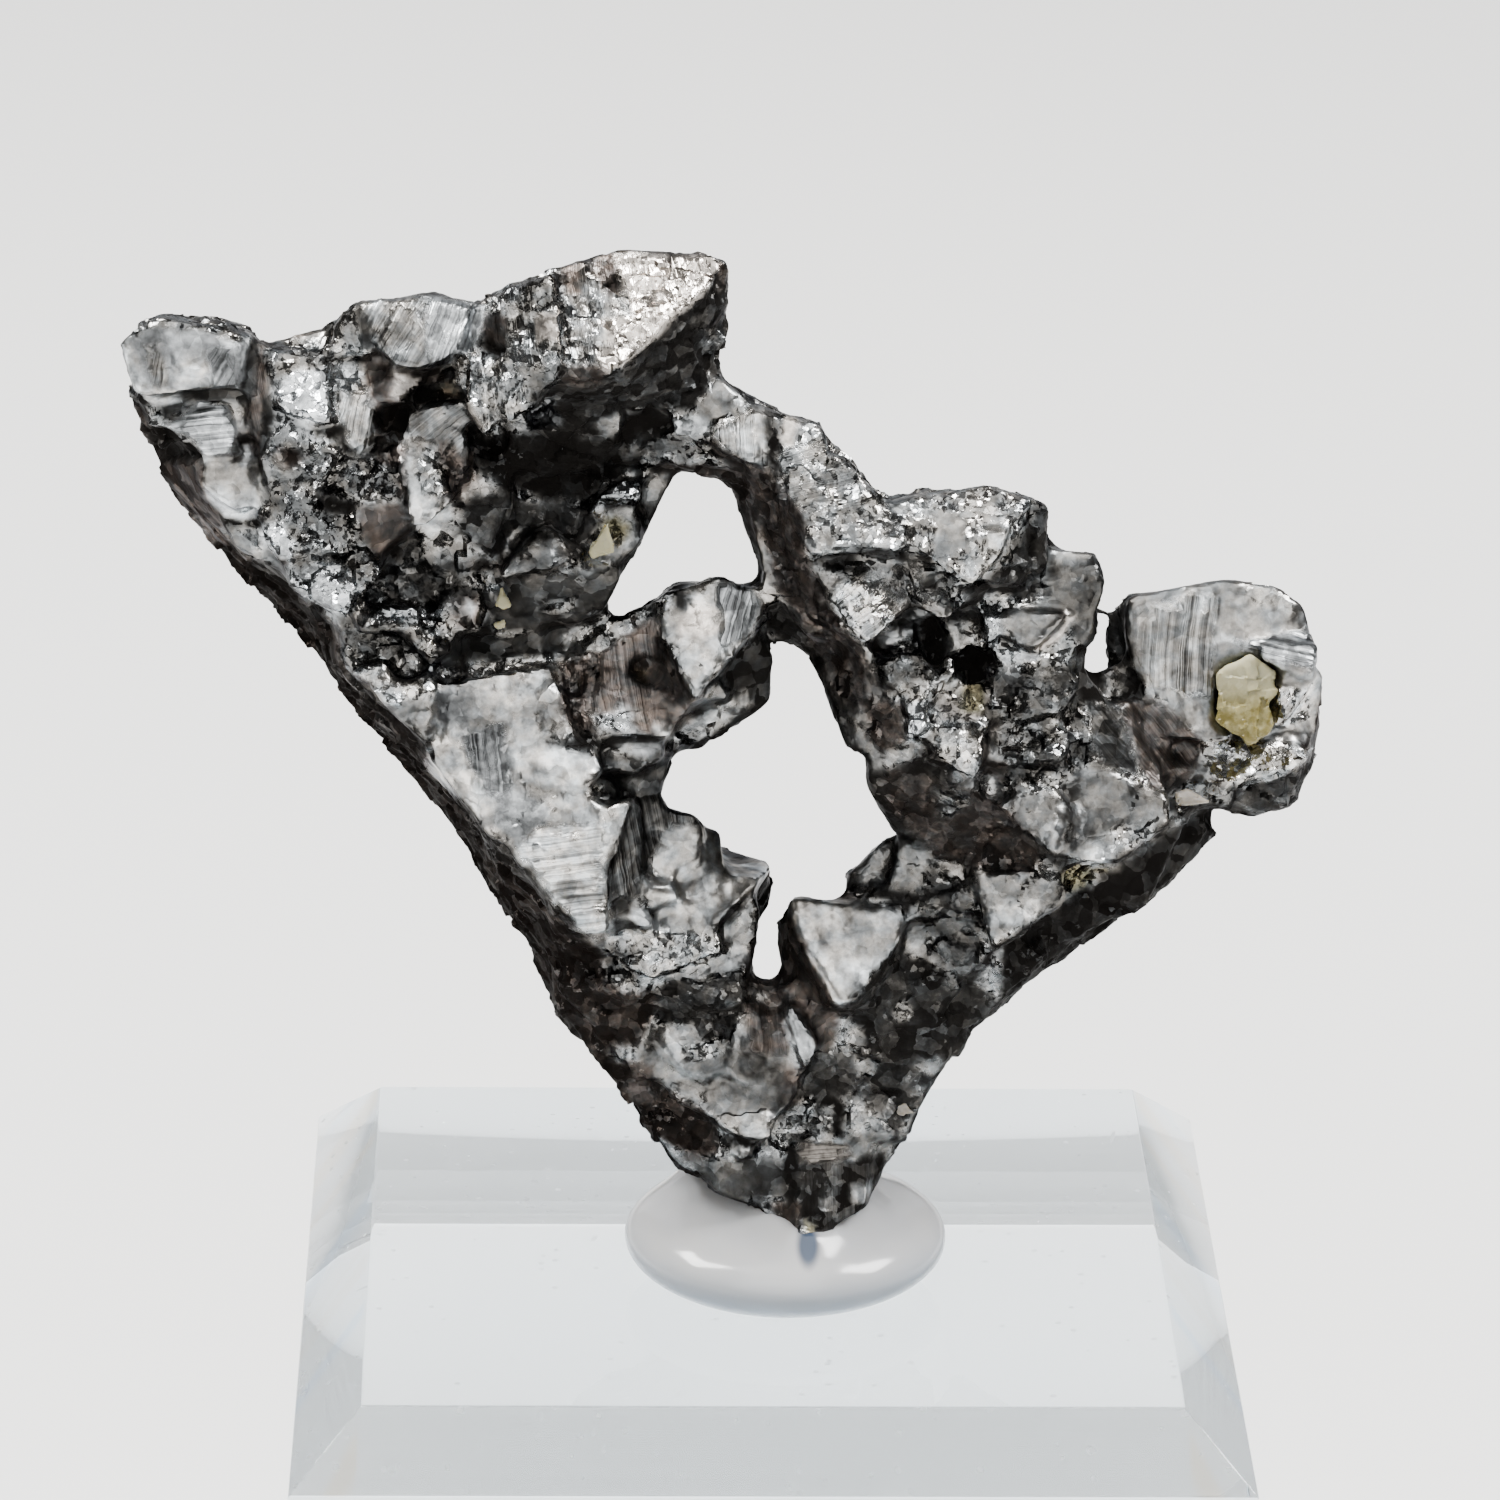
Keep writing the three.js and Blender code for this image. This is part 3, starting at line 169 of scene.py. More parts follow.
def copy_of_node(node: str, name: str) -> Piece:
    """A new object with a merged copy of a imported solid's mesh, in millimetres.

    Args:
        node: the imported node's name.
        name: the new object's name.

    Returns:
        The new object.
    """
    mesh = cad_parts[node].data.copy()
    mesh.name = name
    mesh.materials.clear()
    mesh.transform(Matrix.Scale(1 / MM, 4))
    piece = bpy.data.objects.new(name, mesh)
    bpy.context.scene.collection.objects.link(piece)
    in_edit_mode(
        piece,
        (bpy.ops.mesh.remove_doubles, {"threshold": 0.0005}),
        (bpy.ops.mesh.normals_make_consistent, {"inside": False}),
    )
    return piece


def put_in_place(piece: Piece, node: str, material: Material) -> None:
    """Turns a finished piece from millimetres to metres, dresses it and joins it to the frame.

    Args:
        piece: the finished piece.
        node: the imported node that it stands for.
        material: its finish.
    """
    piece.data.transform(Matrix.Scale(MM, 4))
    piece.data.materials.clear()
    piece.data.materials.append(material)
    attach(piece, "root")
    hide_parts(node)


def smooth_step(low: float, high: float, values: np.ndarray) -> np.ndarray:
    """Rises smoothly from 0 at low to 1 at high.

    Args:
        low: where the rise starts.
        high: where it ends.
        values: the numbers to turn.

    Returns:
        Numbers from 0 to 1.
    """
    share = np.clip((values - low) / (high - low), 0, 1)
    return share * share * (3 - 2 * share)


def chances(cells: np.ndarray, seed: int, count: int) -> np.ndarray:
    """Even random numbers from 0 to 1 that are always the same for the same cell.

    Args:
        cells: whole numbers, one row of three for each cell.
        seed: another seed gives other numbers.
        count: how many numbers for each cell.

    Returns:
        One row of numbers for each cell.
    """
    steps = np.array((73856093, 19349663, 83492791), np.int64)
    mixed = ((cells.astype(np.int64) * steps).sum(axis=1) + seed * 2654435761).astype(np.uint64)
    columns = []
    for _ in range(count):
        mixed ^= mixed >> np.uint64(33)
        mixed *= np.uint64(0xFF51AFD7ED558CCD)
        mixed ^= mixed >> np.uint64(29)
        mixed *= np.uint64(0xC4CEB9FE1A85EC53)
        columns.append((mixed >> np.uint64(11)).astype(float) / 2**53)
    return np.stack(columns, axis=1)


# Relief


@dataclass(frozen=True)
class BrokenRelief:
    """Flat-faced relief as on broken metal: each small cell of space has its own slant and level.

    Sizes are in millimetres. A stretch over 1 makes the cells longer along that axis, after a turn about Y.
    """

    size: float
    lift: float
    seed: int
    stretch: Place = (1.0, 1.0, 1.0)
    turn: float = 0.0
    step: float = 0.6

    def heights(self, points: np.ndarray) -> np.ndarray:
        """The relief's height at each point.

        Args:
            points: one row for each point, in millimetres.

        Returns:
            One height for each point, in millimetres.
        """
        turned = points @ np.array(Matrix.Rotation(math.radians(self.turn), 3, "Y"))
        place = turned / (self.size * np.array(self.stretch))
        corner = np.floor(place - 0.5)
        nearest = np.full(len(points), np.inf)
        heights = np.zeros(len(points))
        for offset in np.ndindex(2, 2, 2):
            cell = corner + offset
            chance = chances(cell, self.seed, 7)
            away = place - cell - 0.5 - 0.7 * (chance[:, :3] - 0.5)
            distance = (away**2).sum(axis=1)
            closer = distance < nearest
            nearest[closer] = distance[closer]
            slant = (away * (2 * chance[:, 3:6] - 1)).sum(axis=1)
            heights[closer] = (slant + self.step * (chance[:, 6] - 0.5))[closer]
        return self.lift * heights


@dataclass(frozen=True)
class SoftNoise:
    """Smooth random numbers in space, from -1 to 1. The size is in millimetres."""

    size: float
    seed: int
    stretch: Place = (1.0, 1.0, 1.0)
    turn: float = 0.0

    def values(self, points: np.ndarray, count: int = 1) -> np.ndarray:
        """The noise at each point.

        Args:
            points: one row for each point, in millimetres.
            count: how many separate numbers for each point.

        Returns:
            One row of numbers for each point.
        """
        turned = points @ np.array(Matrix.Rotation(math.radians(self.turn), 3, "Y"))
        place = turned / (self.size * np.array(self.stretch))
        corner = np.floor(place)
        share = place - corner
        share = share * share * (3 - 2 * share)
        total = np.zeros((len(points), count))
        for offset in np.ndindex(2, 2, 2):
            near = np.where(np.array(offset) == 1, share, 1 - share).prod(axis=1)
            total += near[:, None] * (2 * chances(corner + offset, self.seed, count) - 1)
        return total


# Shader node helpers and groups


def fill(tree: Tree, node: Node, inputs: dict) -> None:
    """Fills a node's inputs with numbers, colours or links.

    Args:
        tree: the node tree.
        node: the node.
        inputs: what goes into each input, by its name or number.
    """
    for key, value in inputs.items():
        socket = node.inputs[key]
        if isinstance(value, Socket):
            tree.links.new(value, socket)
        elif socket.type == "RGBA" and len(value) == 3:
            socket.default_value = (*value, 1.0)
        else:
            socket.default_value = value


def put(tree: Tree, kind: str, inputs: dict | None = None, **settings: object) -> Node:
    """Adds a node, sets its options, and fills its inputs with numbers or links.

    Args:
        tree: the node tree.
        kind: Blender's name of the node.
        inputs: what goes into each input, by its name or number.
        **settings: the node's own options.

    Returns:
        The new node.
    """
    made = tree.nodes.new(kind)
    for name, value in settings.items():
        setattr(made, name, value)
    fill(tree, made, inputs or {})
    return made


def sum_of(tree: Tree, operation: str, *values: Number) -> Socket:
    """One number worked out from others.

    Args:
        tree: the node tree.
        operation: Blender's name of the operation.
        *values: numbers or sockets.

    Returns:
        The result's socket.
    """
    return put(tree, "ShaderNodeMath", dict(enumerate(values)), operation=operation).outputs[0]


def blended(tree: Tree, share: Number, first: Tint, second: Tint, how: str = "MIX") -> Socket:
    """A colour between two colours.

    Args:
        tree: the node tree.
        share: how much of the second, from 0 to 1.
        first: the colour at 0.
        second: the colour at 1.
        how: Blender's name of the blending.

    Returns:
        The result's socket.
    """
    node = put(tree, "ShaderNodeMix", {0: share, 6: first, 7: second}, data_type="RGBA", blend_type=how)
    return node.outputs[2]


def ranged(tree: Tree, value: Number, low: float, high: float,
           start: float = 0.0, end: float = 1.0) -> Socket:
    """Turns one range of numbers into another, smoothly and without going past its ends.

    Args:
        tree: the node tree.
        value: the number to turn.
        low: the lowest number that comes in.
        high: the highest number that comes in.
        start: what low becomes.
        end: what high becomes.

    Returns:
        The result's socket.
    """
    node = put(tree, "ShaderNodeMapRange", {0: value, 1: low, 2: high, 3: start, 4: end},
               interpolation_type="SMOOTHSTEP")
    return node.outputs[0]


class SharedEffect(Enum):
    """Effects that several finishes use, each a node group built once."""

    FACETS = "small_flat_facets"
    MOTTLE = "mottled_tone"
    SPECKS = "scattered_specks"

    def group(self) -> Tree:
        """The effect's node group, built at its first use.

        Returns:
            The group.
        """
        found = bpy.data.node_groups.get(self.value)
        if found:
            return found
        makers = {
            SharedEffect.FACETS: fill_facets,
            SharedEffect.MOTTLE: fill_mottle,
            SharedEffect.SPECKS: fill_specks,
        }
        tree = bpy.data.node_groups.new(self.value, "ShaderNodeTree")
        makers[self](tree)
        return tree

    def add_to(self, tree: Tree, **inputs: object) -> Node:
        """Puts the effect into a material.

        Args:
            tree: the material's node tree.
            **inputs: what goes into the group's inputs.

        Returns:
            The group's node.
        """
        node = tree.nodes.new("ShaderNodeGroup")
        node.node_tree = self.group()
        fill(tree, node, inputs)
        return node


def open_group(tree: Tree, inputs: dict[str, str], outputs: dict[str, str]) -> tuple[Node, Node]:
    """Gives a node group its sockets.

    Args:
        tree: the group.
        inputs: each input's name and kind.
        outputs: each output's name and kind.

    Returns:
        The node that the inputs come from, and the node that the outputs go to.
    """
    for names, way in ((inputs, "INPUT"), (outputs, "OUTPUT")):
        for name, kind in names.items():
            tree.interface.new_socket(name, in_out=way, socket_type="NodeSocket" + kind)
    return tree.nodes.new("NodeGroupInput"), tree.nodes.new("NodeGroupOutput")


def fill_facets(tree: Tree) -> None:
    """Small flat facets that each tilt the surface their own way.

    Args:
        tree: the empty group.
    """
    start, end = open_group(
        tree,
        {"Place": "Vector", "Normal": "Vector", "Size": "Float", "Tilt": "Float"},
        {"Normal": "Vector", "Shade": "Float"},
    )
    scale = sum_of(tree, "DIVIDE", 1.0, start.outputs["Size"])
    place = start.outputs["Place"]
    waves = put(tree, "ShaderNodeTexNoise", {"Vector": place, "Scale": scale, "Detail": 2.0})
    reach = sum_of(tree, "MULTIPLY", start.outputs["Size"], 0.9)
    pushed = put(tree, "ShaderNodeVectorMath", {0: waves.outputs["Color"], "Scale": reach},
                 operation="SCALE")
    bent = put(tree, "ShaderNodeVectorMath", {0: place, 1: pushed.outputs[0]}, operation="ADD")
    cells = put(tree, "ShaderNodeTexVoronoi", {
        "Vector": bent.outputs[0], "Scale": scale, "Randomness": 1.0})
    centred = put(tree, "ShaderNodeVectorMath", {0: cells.outputs["Color"], 1: (0.5, 0.5, 0.5)},
                  operation="SUBTRACT")
    tilt = put(tree, "ShaderNodeVectorMath", {0: centred.outputs[0], "Scale": start.outputs["Tilt"]},
               operation="SCALE")
    tilted = put(tree, "ShaderNodeVectorMath", {0: start.outputs["Normal"], 1: tilt.outputs[0]},
                 operation="ADD")
    unit = put(tree, "ShaderNodeVectorMath", {0: tilted.outputs[0]}, operation="NORMALIZE")
    shade = put(tree, "ShaderNodeSeparateColor", {0: cells.outputs["Color"]})
    tree.links.new(unit.outputs[0], end.inputs["Normal"])
    tree.links.new(shade.outputs[1], end.inputs["Shade"])


def fill_mottle(tree: Tree) -> None:
    """A tone that wanders between two colours.

    Args:
        tree: the empty group.
    """
    start, end = open_group(
        tree,
        {"Place": "Vector", "Size": "Float", "Detail": "Float", "First": "Color", "Second": "Color"},
        {"Color": "Color", "Mask": "Float"},
    )
    scale = sum_of(tree, "DIVIDE", 1.0, start.outputs["Size"])
    noise = put(tree, "ShaderNodeTexNoise",
                {"Vector": start.outputs["Place"], "Scale": scale, "Detail": start.outputs["Detail"],
                 "Roughness": 0.6})
    mask = ranged(tree, noise.outputs[0], 0.34, 0.66)
    colour = blended(tree, mask, start.outputs["First"], start.outputs["Second"])
    tree.links.new(colour, end.inputs["Color"])
    tree.links.new(mask, end.inputs["Mask"])


def fill_specks(tree: Tree) -> None:
    """Scattered round specks, as a mask.

    Args:
        tree: the empty group.
    """
    start, end = open_group(
        tree, {"Place": "Vector", "Spacing": "Float", "Width": "Float", "Share": "Float"}, {"Mask": "Float"}
    )
    scale = sum_of(tree, "DIVIDE", 1.0, start.outputs["Spacing"])
    cells = put(tree, "ShaderNodeTexVoronoi", {"Vector": start.outputs["Place"], "Scale": scale})
    chance = put(tree, "ShaderNodeSeparateColor", {0: cells.outputs["Color"]})
    chosen = sum_of(tree, "LESS_THAN", chance.outputs[0], start.outputs["Share"])
    reach = sum_of(tree, "DIVIDE", start.outputs["Width"], start.outputs["Spacing"])
    own = sum_of(tree, "MULTIPLY", reach, chance.outputs[2])
    near = sum_of(tree, "LESS_THAN", cells.outputs["Distance"], own)
    tree.links.new(sum_of(tree, "MULTIPLY", chosen, near), end.inputs["Mask"])


def new_material(name: str) -> tuple[Material, Tree, Node, Socket]:
    """A material with a Principled shader and its object's coordinates in millimetres.

    Args:
        name: the finish's name.

    Returns:
        The material, its node tree, its shader, and the coordinates' socket.
    """
    material = bpy.data.materials.new(name)
    material.use_nodes = True
    tree = material.node_tree
    tree.nodes.clear()
    shader = put(tree, "ShaderNodeBsdfPrincipled")
    out = put(tree, "ShaderNodeOutputMaterial")
    tree.links.new(shader.outputs[0], out.inputs[0])
    coordinates = put(tree, "ShaderNodeTexCoord")
    place = put(tree, "ShaderNodeVectorMath", {0: coordinates.outputs["Object"], "Scale": 1 / MM},
                operation="SCALE")
    return material, tree, shader, place.outputs[0]


# Finishes


@dataclass(frozen=True)
class AcanthiteFinish:
    """Silvery sulphide with sparkling broken faces, dark tarnish, brown film and a little yellow, and with
    painted light and shade in its base colour.

    It reads the marks that the crystals carry. Sizes and heights are in millimetres, and scales are per
    millimetre.
    """

    silver: Colour = (0.86, 0.82, 0.76)
    blue_silver: Colour = (0.74, 0.79, 0.82)
    cool_silver: Colour = (0.76, 0.80, 0.83)
    warm_silver: Colour = (0.95, 0.87, 0.79)
    tarnish_and_shade: Colour = (0.0045, 0.0040, 0.0036)
    brown_film: Colour = (0.93, 0.78, 0.72)
    yellow_film: Colour = (1.00, 0.88, 0.56)
    swell_scale: float = 0.8
    swell_height: float = 0.24
    crag_scale: float = 2.0
    crag_height: float = 0.12
    block_size: float = 0.52
    facet_size: float = 0.19
    tint_size: float = 0.7
    patch_scale: float = 2.6
    sheen_scale: float = 1.1
    line_scale: float = 4.5
    line_height: float = 0.06
    tarnish_matt: float = 0.55
    brown_matt: float = 0.10

    def material(self) -> Material:
        """The finish as a material.

        Returns:
            The new material.
        """
        material, tree, shader, place = new_material("acanthite")
        marks = {
            name: put(tree, "ShaderNodeAttribute", attribute_name=name).outputs["Fac"]
            for name in KEPT_MARKS
        }
        tone, rough = marks["tone"], marks["rough"]
        coarse, fine = self.broken_surface(tree, place, tone, rough)
        tint, mottle = self.tint(tree, place, marks["warmth"])
        patches = put(tree, "ShaderNodeTexNoise", {
            "Vector": place, "Scale": self.patch_scale, "Detail": 6.0, "Roughness": 0.65}).outputs[0]
        lines = put(tree, "ShaderNodeTexNoise", {
            "W": marks["across"], "Scale": self.line_scale, "Detail": 3.0, "Roughness": 0.7},
            noise_dimensions="1D").outputs[0]
        # The tone holds painted light and shade as well as tarnish: low on tarnish and painted shade.
        clean_and_lit = ranged(tree, tone, 0.05, 0.40)
        flash = self.flash(tree, fine, rough)
        factors = (
            self.patchy(tree, place, patches),
            self.striped(tree, lines, marks["streak"]),
            self.sparkle(tree, fine, rough),
            self.blocks(tree, coarse, clean_and_lit),
        )
        # The base colour's level carries the tone's painted light and shade.
        level = sum_of(tree, "MULTIPLY", tone, tone)
        for factor in factors:
            level = sum_of(tree, "MULTIPLY", level, factor)
        level = sum_of(tree, "MULTIPLY_ADD", flash, sum_of(tree, "MULTIPLY_ADD", tone, 0.40, 0.12), level)
        level = sum_of(tree, "MINIMUM", level, 1.0)
        ridged = put(tree, "ShaderNodeBump", {
            "Height": sum_of(tree, "MULTIPLY", lines, marks["streak"]), "Distance": self.line_height * MM,
            "Strength": 0.8, "Normal": fine.outputs["Normal"]})
        glossy = ranged(tree, rough, 0.1, 0.7, 0.28, 0.18)
        dull = sum_of(tree, "MULTIPLY_ADD", mottle, 0.08, glossy)
        matt = put(tree, "ShaderNodeMix", {0: clean_and_lit, 2: self.tarnish_matt, 3: dull}).outputs[0]
        fill(tree, shader, {
            "Base Color": self.filmed(tree, tint, level, marks, patches),
            "Metallic": sum_of(tree, "MAXIMUM", ranged(tree, tone, 0.05, 0.30), flash),
            "Roughness": sum_of(tree, "MULTIPLY_ADD", marks["brown"], self.brown_matt, matt),
            "IOR": 1.15,
            "Specular IOR Level": 0.10,
            "Specular Tint": (0.45, 0.45, 0.46),
            "Normal": ridged.outputs[0],
        })
        return material

    def broken_surface(self, tree: Tree, place: Socket, tone: Socket, rough: Socket) -> tuple[Node, Node]:
        """Soft swells, crags, coarse facets that lean upwards on bright broken faces, and fine facets.

        Args:
            tree: the material's node tree.
            place: the place on the crystals.
            tone: how bright the face is.
            rough: how broken the face is.

        Returns:
            The coarse facets' node and the fine facets' node.
        """
        normal = put(tree, "ShaderNodeNewGeometry").outputs["Normal"]
        swell = put(tree, "ShaderNodeTexNoise", {"Vector": place, "Scale": self.swell_scale, "Detail": 2.0})
        waved = put(tree, "ShaderNodeBump", {
            "Height": swell.outputs[0], "Distance": self.swell_height * MM, "Strength": 0.8,
            "Normal": normal})
        crags = put(tree, "ShaderNodeTexNoise", {
            "Vector": place, "Scale": self.crag_scale, "Detail": 3.0, "Roughness": 0.55})
        craggy = put(tree, "ShaderNodeBump", {
            "Height": sum_of(tree, "MULTIPLY", crags.outputs[0], rough), "Distance": self.crag_height * MM,
            "Strength": 0.9, "Normal": waved.outputs[0]})
        lean = sum_of(tree, "MULTIPLY", ranged(tree, tone, 0.60, 0.95, 0.0, 0.42), rough)
        upwards = put(tree, "ShaderNodeCombineXYZ", {2: lean})
        leaning = put(tree, "ShaderNodeVectorMath", {0: craggy.outputs[0], 1: upwards.outputs[0]},
                      operation="ADD")
        coarse = SharedEffect.FACETS.add_to(
            tree, Place=place, Normal=leaning.outputs[0], Size=self.block_size,
            Tilt=sum_of(tree, "MULTIPLY_ADD", rough, 0.84, 0.03))
        fine = SharedEffect.FACETS.add_to(
            tree, Place=place, Normal=coarse.outputs["Normal"], Size=self.facet_size,
            Tilt=ranged(tree, rough, 0.15, 0.75, 0.06, 0.32))
        return coarse, fine

    def tint(self, tree: Tree, place: Socket, warmth: Socket) -> tuple[Socket, Socket]:
        """The bare metal's tint, which wanders and is cooler or warmer from face to face.

        Args:
            tree: the material's node tree.
            place: the place on the crystals.
            warmth: how warm the face is, from -1 to 1.

        Returns:
            The colour's socket and the mottle's socket.
        """
        wander = SharedEffect.MOTTLE.add_to(
            tree, Place=place, Size=self.tint_size, Detail=5.0,
            First=self.silver, Second=self.blue_silver)
        metal = blended(tree, ranged(tree, warmth, 0.0, -1.0), wander.outputs["Color"], self.cool_silver)
        metal = blended(tree, ranged(tree, warmth, 0.0, 1.0), metal, self.warm_silver)
        return metal, wander.outputs["Mask"]

    def patchy(self, tree: Tree, place: Socket, patches: Socket) -> Socket:
        """Duller and brighter patches under a broad uneven sheen.

        Args:
            tree: the material's node tree.
            place: the place on the crystals.
            patches: the small patches' noise.

        Returns:
            The factor's socket.
        """
        sheen = put(tree, "ShaderNodeTexNoise", {
            "Vector": place, "Scale": self.sheen_scale, "Detail": 3.0, "Distortion": 0.6}).outputs[0]
        small = ranged(tree, patches, 0.32, 0.68, 0.42, 0.80)
        return sum_of(tree, "MULTIPLY", small, ranged(tree, sheen, 0.40, 0.64, 0.72, 1.45))

    def striped(self, tree: Tree, lines: Socket, streak: Socket) -> Socket:
        """Dark and bright striations where the face has them.

        Args:
            tree: the material's node tree.
            lines: the striations' noise.
            streak: how strong they are.

        Returns:
            The factor's socket.
        """
        stripes = ranged(tree, lines, 0.30, 0.70, 0.38, 1.60)
        return put(tree, "ShaderNodeMix", {0: streak, 2: 1.0, 3: stripes}).outputs[0]

    def sparkle(self, tree: Tree, fine: Node, rough: Socket) -> Socket:
        """A few of the fine facets bright and the others dull, where the face is broken.

        Args:
            tree: the material's node tree.
            fine: the fine facets.
            rough: how broken the face is.

        Returns:
            The factor's socket.
        """
        bright = sum_of(tree, "POWER", fine.outputs["Shade"], 3.0)
        bright = sum_of(tree, "MULTIPLY_ADD", bright, 1.2, 0.75)
        share = ranged(tree, rough, 0.2, 0.8, 0.0, 0.8)
        return put(tree, "ShaderNodeMix", {0: share, 2: 1.0, 3: bright}).outputs[0]

    def blocks(self, tree: Tree, coarse: Node, clean_and_lit: Socket) -> Socket:
        """The coarse facets' own shades, further apart where the face is dark.

        Args:
            tree: the material's node tree.
            coarse: the coarse facets.
            clean_and_lit: high on bright bare metal and painted light, low on tarnish and painted shade.

        Returns:
            The factor's socket.
        """
        bright = sum_of(tree, "MULTIPLY_ADD", coarse.outputs["Shade"], 0.6, 0.80)
        dark = sum_of(tree, "POWER", coarse.outputs["Shade"], 3.0)
        dark = sum_of(tree, "MULTIPLY_ADD", dark, 5.4, 0.12)
        return put(tree, "ShaderNodeMix", {0: clean_and_lit, 2: dark, 3: bright}).outputs[0]

    def flash(self, tree: Tree, fine: Node, rough: Socket) -> Socket:
        """The few upturned fine facets that glint on a broken face.

        Args:
            tree: the material's node tree.
            fine: the fine facets.
            rough: how broken the face is.

        Returns:
            The mask's socket.
        """
        upturned = put(tree, "ShaderNodeSeparateXYZ", {0: fine.outputs["Normal"]}).outputs[2]
        chosen = sum_of(tree, "MULTIPLY", ranged(tree, fine.outputs["Shade"], 0.86, 0.93), rough)
        return sum_of(tree, "MULTIPLY", chosen, ranged(tree, upturned, 0.15, 0.50))

    def filmed(self, tree: Tree, tint: Socket, level: Socket, marks: dict[str, Socket],
               patches: Socket) -> Socket:
        """The metal at its brightness, which paints light and shade, over the near-black of tarnish and
        painted shade, and under the brown and yellow films.

        Args:
            tree: the material's node tree.
            tint: the bare metal's colour.
            level: how bright the metal is, with its painted light and shade.
            marks: the crystals' marks.
            patches: the small patches' noise, which thins the brown film.

        Returns:
            The colour's socket.
        """
        grey = put(tree, "ShaderNodeCombineColor", {0: level, 1: level, 2: level}).outputs[0]
        metal_in_painted_light = blended(tree, 1.0, tint, grey, "MULTIPLY")
        # Adds the near-black that tarnish and painted shade fall to.
        metal_in_painted_light = blended(tree, 1.0, metal_in_painted_light, self.tarnish_and_shade, "ADD")
        browned = blended(tree, 1.0, metal_in_painted_light, self.brown_film, "MULTIPLY")
        film = sum_of(tree, "MULTIPLY", marks["brown"], ranged(tree, patches, 0.40, 0.56, 0.35, 1.0))
        metal_in_painted_light = blended(tree, film, metal_in_painted_light, browned)
        yellowed = blended(tree, 1.0, metal_in_painted_light, self.yellow_film, "MULTIPLY")
        return blended(tree, marks["yellow"], metal_in_painted_light, yellowed)


@dataclass(frozen=True)
class MilkyTackFinish:
    """Milky translucent tack with a glossy skin."""

    milk: Colour = (0.415, 0.412, 0.41)
    shade: Colour = (0.38, 0.385, 0.395)
    low_painted_shade: Colour = (0.20, 0.245, 0.30)
    foot_shade_tint: Colour = (0.04, 0.06, 0.10)
    foot_shade_place: Place = (1.25, -7.35, 21.95)
    foot_shade_squeeze: Place = (1.0, 0.45, 0.45)
    painted_shade_from: float = 21.6
    painted_shade_to: float = 19.8

    def material(self) -> Material:
        """The finish as a material, darker and bluish towards its foot as painted shade, and with painted
        shade where the metal shows through it.

        Returns:
            The new material.
        """
        material, tree, shader, place = new_material("milky_tack")
        tone = SharedEffect.MOTTLE.add_to(
            tree, Place=place, Size=4.0, Detail=2.0, First=self.milk, Second=self.shade)
        height = put(tree, "ShaderNodeSeparateXYZ", {0: place}).outputs[2]
        # Painted shade: darker and bluish towards the foot.
        bluish = ranged(tree, height, self.painted_shade_from, self.painted_shade_to)
        colour = blended(tree, bluish, tone.outputs["Color"], self.low_painted_shade)
        # The base colour carries painted shade towards the foot and where the foot's tip shows through.
        fill(tree, shader, {
            "Base Color": blended(tree, self.foot_shade(tree, place), colour, self.foot_shade_tint),
            "Roughness": sum_of(tree, "MULTIPLY_ADD", tone.outputs["Mask"], 0.05, 0.12),
            "Subsurface Weight": 0.6,
            "Subsurface Radius": (1.0, 0.9, 0.8),
            "Subsurface Scale": 0.0011,
            "IOR": 1.45,
        })
        return material

    def foot_shade(self, tree: Tree, place: Socket) -> Socket:
        """The upright dark blue patch of painted shade where the foot's tip shows through the tack.

        Args:
            tree: the material's node tree.
            place: the place on the tack.

        Returns:
            The mask's socket.
        """
        away = put(tree, "ShaderNodeVectorMath", {0: place, 1: self.foot_shade_place}, operation="SUBTRACT")
        away = put(tree, "ShaderNodeVectorMath", {0: away.outputs[0], 1: self.foot_shade_squeeze},
                   operation="MULTIPLY")
        away = put(tree, "ShaderNodeVectorMath", {0: away.outputs[0]}, operation="LENGTH")
        return ranged(tree, away.outputs["Value"], 0.50, 0.22, 0.0, 0.97)


